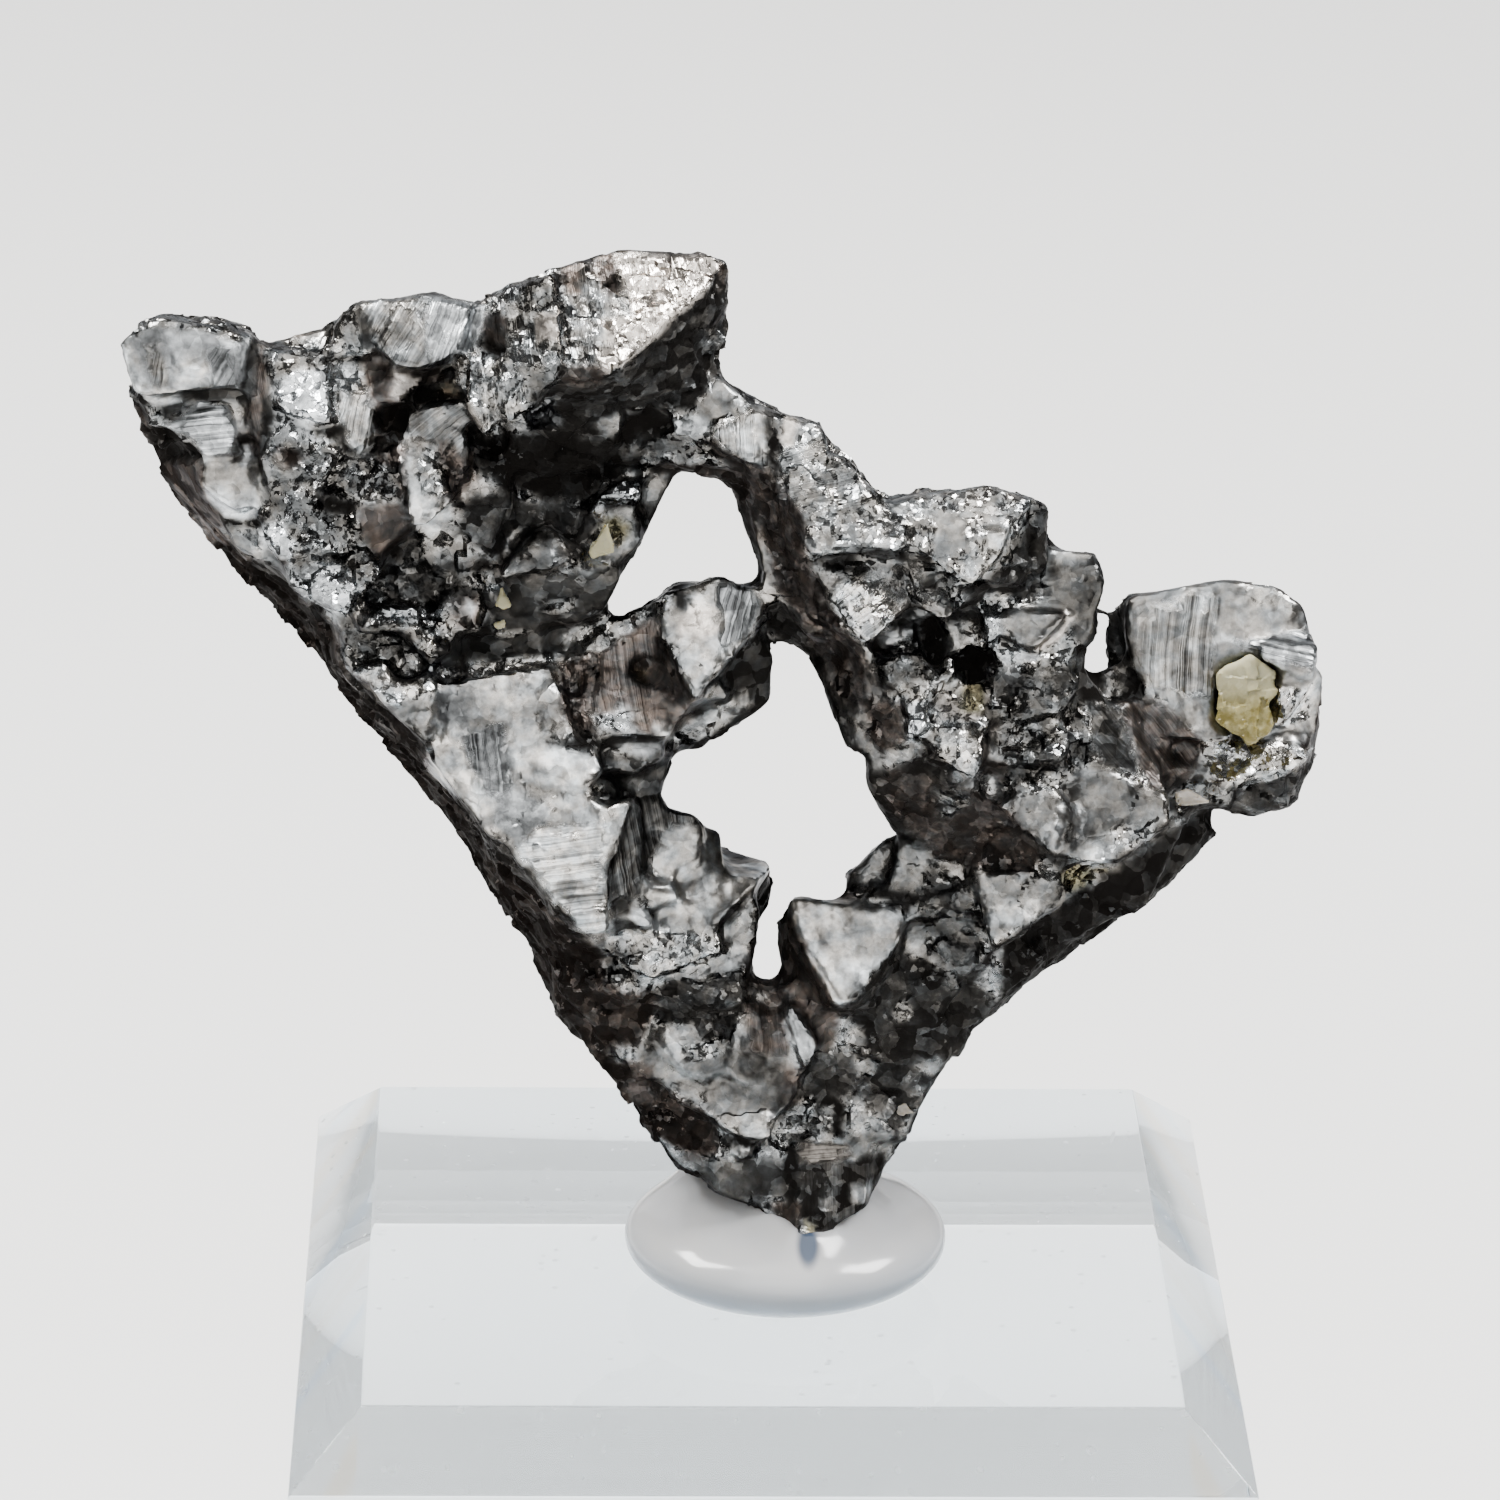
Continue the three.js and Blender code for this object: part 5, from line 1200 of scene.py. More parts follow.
# The branch in the middle, the broad face, and the stub.
BRANCH = (
    Face(((-13.9, 21.5), (-11.8, 21.8), (-11.8, 21.2), (-12.9, 20.9), (-13.5, 20.9)), 0.88, GRAINY),
    Face(((-13.4, 20.8), (-11.8, 21.1), (-11.6, 19.6), (-12.9, 20.1)), 0.5, SATIN),
    Face(((-11.8, 21.2), (-10.7, 21.8), (-7.8, 22.3), (-7.7, 21.3), (-7.2, 20.4), (-8, 19.4), (-6.4, 18.7),
          (-7.2, 17.8), (-5.3, 17.5), (-6, 15.6), (-9, 15.7), (-10.8, 17.4), (-12, 18.2), (-12.1, 19.4)),
          0.71, SATIN),
    Face(((-10.9, 19.6), (-9.6, 20.1), (-9.3, 17.3), (-10.3, 17.7)), 0.52, SATIN, COOL,
          lines=95),
    Face(((-10.7, 21.9), (-7.9, 22.3), (-7.7, 21.6), (-9, 20.9), (-10.5, 20.9)), 0.88, SATIN),
    Face(((-9.4, 19.1), (-8, 19.4), (-6.4, 18.7), (-7.1, 18), (-8.7, 18)), 1.0, SMOOTH),
    Face(((-12.1, 19.4), (-11.6, 19.6), (-11.4, 18.3), (-11.8, 18.1)), 1.0, SMOOTH),
    Face(((-11.2, 18.4), (-10.4, 18.2), (-9.9, 17), (-10.3, 16.7)), 1.0, SMOOTH),
    Face(((-9.7, 17.4), (-8.1, 17.4), (-8.1, 16), (-9.4, 16), (-9.9, 16.7)), 0.56, SATIN,
          COOL),
    Face(((-8.5, 16.3), (-6.2, 16.7), (-6, 12.6), (-6.7, 12.5), (-7.7, 13.5), (-9, 15.6)), 0.96,
          SATIN, lines=8),
    Face(((-7.8, 14.4), (-6.2, 14.5), (-6.2, 14.3), (-7.8, 14)), 0.55, SMOOTH, lines=8),
    Face(((-7.7, 13.9), (-6.1, 14), (-6.1, 13.8), (-7.6, 13.6)), 0.5, SMOOTH, lines=8),
    Face(((-11.7, 21), (-10.7, 20.9), (-10.8, 20.1), (-11.6, 20.1)), 0.46, SATIN, COOL),
    Face(((-6.4, 17.4), (-5.3, 17.5), (-5.4, 16.7), (-6, 15.5), (-6.2, 15.7), (-6, 16.7)), 0.9,
          SATIN),
    Face(((-5.9, 15.6), (-5.2, 17.5), (-4.7, 17.8), (-3.3, 17.4), (-3, 16.3), (-4.2, 16.3), (-4.6, 15.2),
          (-5, 14), (-5.8, 13.8), (-6.1, 14.8)), 0.32, SMOOTH, lines=100),
    Face(((-4.2, 16.3), (-2.9, 16.5), (-1.7, 16.1), (-0.5, 15.9), (-0.5, 15.1), (-1.1, 14.5), (-1.8, 14),
          (-2.2, 13.1), (-3, 12.6), (-4.4, 12.8), (-4.7, 13.8), (-4.6, 15.1)), 0.74, SMOOTH),
    Face(((-2.1, 13.7), (-1.1, 14.7), (-0.6, 15.8), (-0.4, 15.1), (-1.5, 13.7)), 0.95, SMOOTH),
    Face(((-2.1, 15.8), (-1.4, 15.9), (-1.4, 15.2), (-2, 15.2)), 0.34, SMOOTH),
    Face(((-5.3, 13.4), (-4.7, 13.5), (-4.4, 12.8), (-5, 12.8)), 1.0, SMOOTH, COOL),
    Face(((-4.8, 14.4), (-4.5, 14.4), (-4.5, 13.9), (-4.8, 13.9)), 0.96, SMOOTH),
    Face(((-4.2, 14.3), (-3.6, 14.2), (-3.7, 13.7), (-4.1, 13.8)), 0.96, SMOOTH),
    Face(((-6, 14), (-5.3, 13.7), (-5.4, 13.4), (-5.8, 13.5)), 0.12, SMOOTH),
    Face(((-5.7, 12.6), (-3, 12.6), (-1.7, 12), (-3, 11.2), (-4.9, 10.7), (-5, 11.7)), 0.74,
          GRAINY),
    Face(((-6.5, 12.3), (-5, 11.7), (-4.9, 10.7), (-5.9, 10.7)), 0.4, BROKEN),
    Face(((-6.9, 21.2), (-6.3, 22.7), (-4.7, 23.8), (-4.3, 22.7), (-3.7, 21.5), (-3.1, 20.9), (-3.7, 19.8),
          (-4.1, 19.5), (-5.7, 20.2), (-6.7, 20.5)), 0.43, SATIN, BROWN, lines=100),
    Face(((-6.7, 20.4), (-5.7, 20.7), (-5.2, 20.5), (-5.3, 19.6), (-6.3, 20)), 0.84, GRAINY,
          COOL),
    Face(((-4.5, 20), (-3.9, 20.2), (-3.7, 19.6), (-4.3, 19.5)), 0.93, SMOOTH),
    Face(((-4.7, 21.3), (-3.3, 21.1), (-3.7, 20), (-4.5, 20.2)), 0.42, SMOOTH, BROWN),
    Face(((-5.3, 22.4), (-4, 22.2), (-3.6, 21.2), (-4.7, 21.6), (-5.4, 21.9)), 0.18, SATIN,
          BROWN),
    Face(((-5.2, 22), (-4.9, 22), (-4.9, 21.6), (-5.1, 21.6)), 0.3, SATIN, RUST),
    Face(((-7.7, 22.2), (-6.9, 22.5), (-6.3, 22.6), (-6.7, 20.5), (-6.4, 19.5), (-7.5, 20.4)), 0.36,
          GRAINY, BROWN, lines=95),
    Face(((-8, 19.4), (-6.7, 19.7), (-5.7, 19.3), (-6.4, 19.1)), 0.08, GRAINY),
    Face(((-6.4, 19), (-5.1, 18.8), (-3.4, 19.4), (-3.4, 17.8), (-5, 17.5), (-6.2, 17.5)), 0.26,
          SATIN),
    Face(((-4.6, 24.8), (-3.4, 25.2), (-1.6, 25.1), (-1, 24.4), (-0.9, 23.7), (-1.6, 23), (-2.3, 22.1),
          (-3.1, 20.9), (-3.5, 21.2), (-3.8, 22.6), (-4.4, 23.1)), 0.76, SATIN),
    Face(((-2.5, 24.9), (-1.6, 25), (-1.1, 24.3), (-1.6, 23.1), (-2.4, 22.7)), 0.62, SMOOTH,
          COOL, lines=75),
    Face(((-3.9, 23.7), (-3.1, 24.3), (-2.4, 24), (-2.4, 23.3), (-3.1, 23.2), (-3.8, 23.1)), 0.95,
          SATIN, WARM),
    Face(((-4.4, 24.6), (-4, 24.7), (-4, 23.9), (-4.3, 23.9)), 0.94, SATIN, COOL),
    Face(((-4, 24.9), (-3.6, 24.9), (-3.6, 24), (-4, 24)), 0.2, SATIN),
    Face(((-3.4, 21.2), (-2.7, 21.4), (-2, 21.3), (-1.9, 20.8), (-3.1, 20.7)), 0.6, SATIN),
    Face(((-2.1, 22.4), (-1.1, 23.1), (-0.5, 23.1), (-0.8, 21), (-1.9, 21), (-2.4, 21.7)), 0.1,
          SATIN),
)

# The rubble in the hollow between the left arm and the broad face.
LEFT_HOLLOW = (
    Face(((-14.2, 24), (-13, 24.5), (-11.7, 24.3), (-11.7, 23.9), (-13, 23.6), (-14.1, 23.5)), 0.66,
          BROKEN, COOL),
    Face(((-12.7, 23.4), (-11.4, 23.2), (-11.3, 22.7), (-11.8, 22.5), (-12.5, 22.7)), 0.62, BROKEN),
    Face(((-14.9, 22.4), (-13.5, 22.5), (-13.4, 22), (-14.3, 21.6), (-14.7, 21.9)), 0.7, GRAINY),
    Face(((-14.8, 23.7), (-13, 23.5), (-12.7, 22.7), (-13.3, 22.5), (-14.8, 22.5)), 0.34, GRAINY),
    Face(((-11.3, 24.8), (-10.5, 24.9), (-10.4, 23.6), (-11.2, 23.4)), 0.3, GRAINY, BROWN),
    Face(((-11, 24.4), (-10.6, 24.5), (-10.6, 23.9), (-11, 23.9)), 0.97, SMOOTH, COOL),
    Face(((-13.5, 25.7), (-11.7, 25.8), (-10.4, 24.8), (-11.4, 24.4), (-13.3, 24.4)), 0.28, GRAINY),
    Face(((-10.4, 24.8), (-7.7, 25.3), (-5.1, 25.8), (-5.1, 24.5), (-7.7, 23.6), (-9.7, 23.4)), 0.24,
          SATIN),
    Face(((-8.3, 24.4), (-7.3, 24.4), (-7.4, 24), (-8.2, 23.9)), 0.62, GRAINY),
    Face(((-11.7, 23), (-7.7, 23.5), (-7.7, 22.5), (-10.7, 22), (-11.7, 22.2)), 0.2, SATIN),
    Face(((-10.7, 22.2), (-9, 22.4), (-7.9, 22.5), (-8.4, 22.1), (-10.4, 21.8)), 0.8, GRAINY),
)

# The right arm's blocks, its brown side band under painted shade, and its deep holes painted as shade.
RIGHT_ARM = (
    Face(((-1.7, 31.3), (0.1, 30.9), (1, 30.3), (1.1, 29.8), (0.1, 29.8), (-0.7, 29.3), (-1, 30)), 0.6,
          GRAINY),
    Face(((-0.6, 30.9), (-0, 31), (-0.3, 29.8), (-0.6, 30)), 0.86, SATIN, WARM),
    Face(((-1.7, 31.3), (-1.1, 31.2), (-0.9, 29), (-1.5, 29.1)), 0.7, SATIN, lines=92),
    Face(((-1.1, 30.8), (-0.9, 30.8), (-0.6, 28.9), (-0.9, 28.8)), 0.12, SATIN),
    Face(((-0.7, 29.3), (0.1, 29.8), (1.4, 29.7), (2.4, 28.9), (3, 27.9), (1.8, 27.4), (0, 27.2),
          (-0.5, 28)), 0.62, GRAINY, lines=20),
    Face(((0.1, 27.3), (2.8, 27.7), (3.5, 27.3), (4.3, 26.4), (4.2, 26), (2.1, 26.1), (0.7, 25.9),
          (0.2, 26.4)), 0.62, GRAINY),
    Face(((0.1, 26.6), (0.6, 26.6), (0.7, 25.9), (0.3, 26.1)), 0.9, SATIN),
    Face(((3.4, 27.9), (4.4, 28.4), (5.8, 28.6), (8, 28.2), (7.5, 27), (7.1, 26.2), (6.4, 25.6),
          (5.9, 25.1), (5.4, 25), (4.6, 25.9), (4.1, 26.6)), 0.68, GRAINY),
    Face(((6.2, 27.2), (7.1, 27.1), (7, 26.3), (6.3, 26.4)), 0.94, SATIN),
    Face(((5.1, 25.7), (6.3, 25.7), (6, 25.1), (5.4, 25.1)), 0.84, GRAINY),
    Face(((4.7, 27.5), (5.6, 27.5), (5.6, 26.4), (4.8, 26.4)), 0.58, SMOOTH),
    Face(((6.3, 25), (7.2, 26), (7.9, 27.4), (8.2, 28.1), (8.4, 27.6), (8.3, 25.9), (8.1, 24.5),
          (6.9, 24.8)), 0.2, BROKEN),
    Face(((1.9, 26.1), (2.8, 26.3), (4.3, 26.1), (4.3, 25.9), (2.8, 25.9), (2, 26)), 0.1, GRAINY),
    Face(((2.1, 25.9), (4.3, 25.9), (4.3, 25.6), (2.2, 25.5)), 0.6, GRAINY),
    Face(((4.2, 25.3), (4.7, 25.3), (4.7, 24.9), (4.3, 25)), 0.1, SATIN),
    Face(((0.8, 25.9), (2, 25.9), (2.1, 25.4), (1, 25.2)), 0.18, BROKEN),
    Face(((0.8, 24.6), (2.1, 25.2), (2.9, 25.4), (3.7, 24.6), (2.9, 23.3), (2.4, 22.9), (1.9, 23.6)), 0.98,
          GRAINY, lines=40),
    Face(((3.5, 25.8), (4.1, 25.8), (4.2, 24.5), (3.7, 24.6)), 0.55, GRAINY, lines=95),
    Face(((4.3, 24.1), (4.9, 24.7), (5.4, 24.2), (5, 23.7)), 0.72, SATIN),
    Face(((-1.8, 29), (-0.8, 29), (0.2, 26.9), (0.8, 25.1), (1.6, 23.7), (2.3, 22.7), (2.3, 20.8),
          (0.9, 22.2), (-0.2, 24.5), (-1.1, 26.6)), 0.21, BROKEN, BROWN, lines=115),
    Face(((-0.1, 24.1), (1.1, 23.9), (1.3, 22.7), (0.4, 23.1)), 0.34, GRAINY, BROWN,
          lines=150),
    Face(((8.3, 26.4), (10, 26.3), (10.3, 24.5), (10, 22.7), (9.2, 23.1), (9.1, 24.2), (8.2, 24.5)), 0.36,
          SATIN),
    Face(((8.3, 26.4), (10, 26.3), (10.1, 25.9), (8.4, 25.9)), 0.56, SMOOTH),
    Face(((6.9, 24.1), (8.1, 24.5), (9.2, 24.2), (8.9, 23.4), (8.3, 22.8), (7.4, 23.1)), 0.45,
          SMOOTH),
    Face(((9.2, 24.1), (9.3, 24), (8.9, 23.2), (8.2, 22.7), (8, 22.8), (8.8, 23.4)), 0.95, SMOOTH,
          WARM),
    Face(((6.3, 24.2), (6.8, 24.4), (6.8, 22.9), (6.4, 22.9)), 0.76, GRAINY, COOL),
    Face(((6.6, 22.8), (7.6, 23), (7.8, 22.2), (7.1, 22.1)), 0.76, GRAINY),
    Face(((7.6, 22.6), (8.2, 22.6), (8.2, 22.3), (7.7, 22.3)), 0.9, SATIN, COOL),
    Face(((4.1, 23.4), (4.6, 23.7), (5, 23.3), (5, 22.6), (4.8, 22), (4.4, 22.4)), 0.05, GRAINY),
    Face(((5.4, 22.4), (5.9, 22.7), (6.6, 22.5), (6.8, 22), (6.5, 21.5), (5.7, 21.6)), 0.02,
          GRAINY),
    Face(((2.6, 22.7), (3.9, 23.1), (4.6, 21.7), (2.9, 21.3)), 0.32, BROKEN),
    Face(((3.5, 20.8), (4.6, 21.1), (4.5, 19.6), (3.8, 19.4)), 0.88, GRAINY, COOL),
    Face(((4.5, 21.6), (5.5, 21.9), (5.6, 21.3), (4.7, 21.2)), 0.84, SATIN),
    Face(((4.7, 20.1), (6.4, 20.3), (6.4, 19.6), (4.8, 19.5)), 0.6, GRAINY),
    Face(((5.6, 21.4), (6.2, 21.5), (6.2, 20.5), (5.7, 20.6)), 0.45, GRAINY, YELLOW),
    Face(((6.5, 22.1), (9.4, 22.3), (9.8, 19.6), (6.9, 19.4)), 0.33, BROKEN),
    Face(((8.5, 20.8), (8.9, 20.8), (8.9, 20), (8.6, 20.1)), 0.93, SATIN),
    Face(((9.3, 22.3), (10.2, 22.1), (10.2, 21), (9.5, 21)), 0.1, SATIN),
    Face(((2.3, 21), (3.5, 21), (3.7, 19.5), (2.9, 18.9), (2.4, 19.6)), 0.18, BROKEN, BROWN,
          lines=120),
)

# The right knob, the plate below it, and the lower right.
RIGHT_KNOB = (
    Face(((11, 24.5), (11.7, 24.9), (13.9, 25.3), (16.4, 25), (17.5, 23.9), (17.8, 22.7), (17.7, 21.4),
          (16.9, 19.4), (13.7, 19.7), (12.4, 21), (11.5, 21.7), (11, 23.1)), 0.64, SMOOTH),
    Face(((11.3, 24.2), (13.9, 24.7), (14, 21), (12.2, 21.4), (11.4, 22.4)), 0.64, SMOOTH,
          lines=88),
    Face(((14.6, 23.1), (17.5, 23.5), (17.8, 22.6), (17.5, 22), (15.5, 22.6)), 0.7, SMOOTH,
          COOL, lines=162),
    Face(((14, 23.8), (14.3, 23.9), (14.4, 23.2), (14, 23.1)), 1.0, SMOOTH),
    Face(((11.8, 23.1), (12.1, 23.1), (12.2, 21.4), (11.9, 21.5)), 0.86, SMOOTH, lines=88),
    Face(((12.7, 24.5), (13.3, 24.9), (13.4, 23.1), (13, 22.8)), 0.78, SMOOTH, lines=88),
    Face(((14.7, 25), (16.4, 24.8), (16.7, 24.1), (15.1, 24.3)), 0.78, SATIN),
    Face(((15.8, 21.4), (17.5, 21.6), (17.1, 20.3), (16, 20.2)), 0.95, GRAINY),
    Face(((13.6, 19.7), (15.6, 19.5), (17.3, 19.2), (16.6, 18.6), (14.9, 17.9), (14.1, 18.3)), 0.86,
          BROKEN),
    Face(((14.8, 18), (16.9, 18.6), (17.2, 17.5), (15.4, 16.9)), 0.25, BROKEN),
    Face(((10.7, 21.7), (11.5, 21.6), (11.9, 20.7), (10.9, 20.6)), 0.08, SATIN),
    Face(((10.9, 20.9), (12.2, 20.9), (13.6, 19.5), (13.5, 18.2), (11.9, 17.8)), 0.4, SATIN,
          BROWN, lines=130),
    Face(((6.9, 19.4), (9.7, 19.5), (10.2, 18.8), (8.9, 18.5), (7.3, 17.8)), 0.3, BROKEN),
    Face(((9.7, 21), (10.8, 20.6), (11.6, 18.2), (10.2, 18.8)), 0.26, SATIN, lines=130),
    Face(((4.6, 19.6), (6.1, 19.5), (6.3, 18.1), (5.5, 18.3)), 0.78, GRAINY),
    Face(((7, 17.4), (8.9, 17.8), (9.3, 17.4), (9, 18.5), (10, 18.7), (11.9, 17.8), (13.4, 17.5),
          (12.6, 16.9), (11.7, 16), (10.3, 15.1), (9.5, 15), (8.7, 15.7), (7.6, 16.3)), 0.5, SATIN),
    Face(((9.5, 18.2), (10.9, 18.2), (11.3, 16.4), (10, 15.9), (9.6, 16.9)), 0.4, SMOOTH),
    Face(((9.9, 15.8), (10.7, 15.8), (10.5, 15.1), (9.8, 15.1)), 0.95, SATIN),
    Face(((10.6, 16.3), (12, 16.8), (12, 16.1), (10.7, 15.5)), 0.82, GRAINY),
    Face(((9.1, 18), (9.5, 17.9), (9.6, 16.4), (9.3, 16.8)), 0.12, SATIN),
    Face(((3.1, 18.5), (6.9, 17.5), (8.5, 15.7), (8, 14.6), (5.3, 15.3), (3.6, 16.7)), 0.2, BROKEN,
          BROWN),
    Face(((4.6, 17.8), (5.6, 17.9), (6, 17.2), (5, 16.9)), 0.36, GRAINY, lines=150),
    Face(((6.3, 16.7), (7.3, 16.7), (7.7, 15.8), (6.7, 15.7)), 0.3, GRAINY, BROWN),
    Face(((5.8, 14.6), (7, 15), (8.7, 14.7), (9.6, 14), (8.7, 13.5), (7.4, 12.9), (6.7, 12.4), (6.4, 13.2)),
          0.5, SATIN),
    Face(((6.6, 13.7), (8.2, 13.8), (8.1, 13.2), (6.8, 13.1)), 0.95, SATIN),
    Face(((8.9, 15), (10.7, 15.1), (10.6, 14.5), (9.4, 14)), 0.3, GRAINY),
    Face(((9.1, 14.9), (9.6, 15.1), (10.1, 14.9), (9.8, 14.5), (9.3, 14.3)), 0.5, GRAINY,
          YELLOW),
    Face(((10.4, 14.9), (10.8, 15), (10.8, 14.5), (10.5, 14.5)), 0.5, GRAINY, YELLOW),
    Face(((2.6, 15.7), (3.8, 16.5), (4.7, 14.9), (4.7, 14.2), (3, 14.2), (1.8, 14.4)), 0.45, SATIN),
    Face(((4.7, 15.3), (5.8, 14.6), (6.5, 12.8), (6.1, 10.8), (4.7, 11.7), (4.3, 13.9)), 0.3,
          GRAINY),
    Face(((1.9, 14.3), (4.7, 14.2), (4.1, 13.2), (3, 13.7)), 0.17, GRAINY),
    Face(((7.1, 12.4), (9.7, 14), (13, 15.7), (13, 14.6), (9.1, 11.7), (7.1, 10.3)), 0.07, GRAINY),
    Face(((-0.1, 14), (3.1, 13.7), (4.1, 12.9), (3.4, 11.8), (2.5, 10.8), (1.9, 10), (1.5, 10.2),
          (0.6, 11.8), (0.2, 12.8)), 0.65, SMOOTH),
    Face(((1.9, 11.6), (3.2, 11.7), (2.8, 10.8), (2.1, 10.7)), 0.97, SMOOTH, COOL),
    Face(((-0.1, 14), (0.3, 13.9), (0.4, 12.9), (0.1, 13.1)), 0.96, SMOOTH),
    Face(((0.2, 12.6), (0.6, 12.6), (1.7, 10.6), (1.9, 10), (1.6, 10.1), (0.8, 11.5)), 0.96,
          SMOOTH),
    Face(((-0.8, 11), (-0.5, 12.8), (0.1, 13.2), (0.8, 11.5), (1.7, 9.9), (1.4, 8.1), (0.1, 8.8)), 0.3,
          SATIN, BROWN),
    Face(((3.4, 11.8), (4.7, 11.7), (6.8, 10.3), (5.8, 8.1), (3.1, 8.1), (2.1, 9.9)), 0.13, GRAINY),
    Face(((5.1, 11.4), (5.7, 11.3), (5.8, 10.6), (5.4, 10.6)), 0.5, GRAINY),
    Face(((3.5, 10.1), (4.2, 10.3), (4.2, 9.4), (3.7, 9.4)), 0.45, GRAINY),
)

# The lower V and the foot.
LOWER_V = (
    Face(((-7.7, 10.7), (-5.9, 10.7), (-4.3, 10.2), (-5, 8.4), (-6.3, 8)), 0.16, BROKEN,
          BROWN),
    Face(((-4.3, 10.8), (-1.6, 11.3), (-1.2, 9.9), (-2.3, 8.6), (-4.3, 9.5)), 0.2, BROKEN),
    Face(((-5.9, 8.5), (-4.9, 8.6), (-4.9, 8), (-5.7, 8)), 0.55, GRAINY),
    Face(((-5, 8.8), (-4.2, 8.6), (-4.2, 7.6), (-5, 7.8)), 0.42, SATIN),
    Face(((-4.5, 8), (-3.3, 8), (-2.9, 6.9), (-3.3, 6.5), (-4, 7.1)), 0.64, SATIN),
    Face(((-3.9, 9.3), (-3.1, 9.5), (-3, 9), (-3.8, 8.8)), 0.8, SATIN),
    Face(((-3.4, 8.7), (-2.3, 8.9), (-2.2, 8.1), (-3.1, 8.1)), 0.62, GRAINY),
    Face(((-3, 8), (-1.5, 8.4), (0.1, 8.1), (0.4, 6.9), (-0.3, 5.7), (-0.7, 4.9), (-1.4, 4.9), (-2.2, 5.5),
          (-2.7, 6.6)), 0.4, SMOOTH),
    Face(((-2.6, 6.2), (-0.4, 6.2), (-0.6, 5.1), (-1.2, 4.9), (-2.2, 5.4)), 0.68, SATIN),
    Face(((-0.2, 8), (0.5, 7.8), (0.4, 6.5), (-0.1, 6.5)), 0.32, SATIN, BROWN),
    Face(((-1.4, 10.2), (-0, 10.1), (0.1, 8.1), (-1.2, 8.4)), 0.34, SATIN, BROWN, lines=95),
    Face(((-0.2, 10.1), (0.4, 10), (1.1, 8.4), (0.4, 7.6), (0.1, 8.8)), 0.82, SATIN, COOL),
    Face(((-2.2, 5.2), (-1.6, 5.4), (-1.2, 5.2), (-1.3, 4.7), (-1.9, 4.7)), 0.08, SATIN),
    Face(((-2, 4.8), (-1.2, 4.8), (-1.3, 4.4), (-1.8, 4.4)), 0.86, SMOOTH),
    Face(((-1.6, 4.5), (0.1, 4.4), (0, 3.1), (-1.4, 2.9)), 0.24, SATIN),
    Face(((-3.1, 4.4), (-1.6, 4.2), (-1.5, 2.8), (-2.8, 3.1)), 0.3, SATIN),
    Face(((0.1, 4.8), (0.4, 4.7), (0.4, 3.7), (0.3, 2.9), (0, 3), (-0.1, 4)), 0.08, SATIN),
    Face(((0.4, 5), (2.2, 4.9), (2.2, 4.3), (0.5, 4.2)), 0.42, SMOOTH, WARM, lines=3),
    Face(((2.1, 5.3), (3.5, 5.4), (3.3, 4.6), (2.2, 4.6)), 0.4, SATIN),
    Face(((1.2, 6.8), (1.7, 6.6), (2.1, 5.9), (2, 5.1), (1.5, 5.3), (1, 5.9)), 0.08, GRAINY),
    Face(((1.3, 6.2), (1.6, 6.2), (1.6, 5.5), (1.3, 5.5)), 0.62, GRAINY),
    Face(((0.5, 8.1), (3.8, 8.4), (4.8, 7.3), (3.8, 5.5), (2.1, 6.7), (0.6, 6.7)), 0.2, BROKEN),
    Face(((2.3, 8), (3, 8), (2.9, 7.5), (2.4, 7.5)), 0.55, GRAINY),
    Face(((0.5, 4.1), (3.3, 4.6), (3.2, 2.9), (2.2, 2), (0.7, 1.5)), 0.12, SATIN, lines=95),
    Face(((2.3, 3.5), (2.9, 3.5), (2.9, 2.9), (2.4, 3)), 0.86, SMOOTH),
    Face(((0.7, 2.2), (1.1, 2.1), (1, 1.7), (0.8, 1.7)), 0.62, SMOOTH, YELLOW),
    Face(((1.2, 3.1), (1.5, 3.1), (1.5, 2.7), (1.3, 2.7)), 0.6, SMOOTH),
    Face(((-0.5, 2.8), (0.5, 2.8), (0.5, 1.9), (-0.2, 2)), 0.28, SATIN, BROWN),
    Face(((-5.5, 7.3), (-4, 7), (-2.9, 6.2), (-2.2, 4.8), (-3.3, 4.4), (-5, 5.9)), 0.16, BROKEN,
          BROWN),
    Face(((-5.3, 8), (-4.6, 7.9), (-4.4, 6.6), (-5.2, 6.7)), 0.3, GRAINY, BROWN),
    Face(((14, 17.2), (14.4, 16.7), (12.7, 14.9), (11.1, 13.7), (10.2, 13.7), (10.4, 14.7), (11, 15.1),
          (12, 15.9)), 0.1, SATIN),
    Face(((14.1, 23.7), (14.4, 23.7), (14.4, 23), (14.1, 23)), 1.0, SMOOTH, COOL),
)

FACES = LEFT_ARM + CREST + BRANCH + LEFT_HOLLOW + RIGHT_ARM + RIGHT_KNOB + LOWER_V


# Pieces


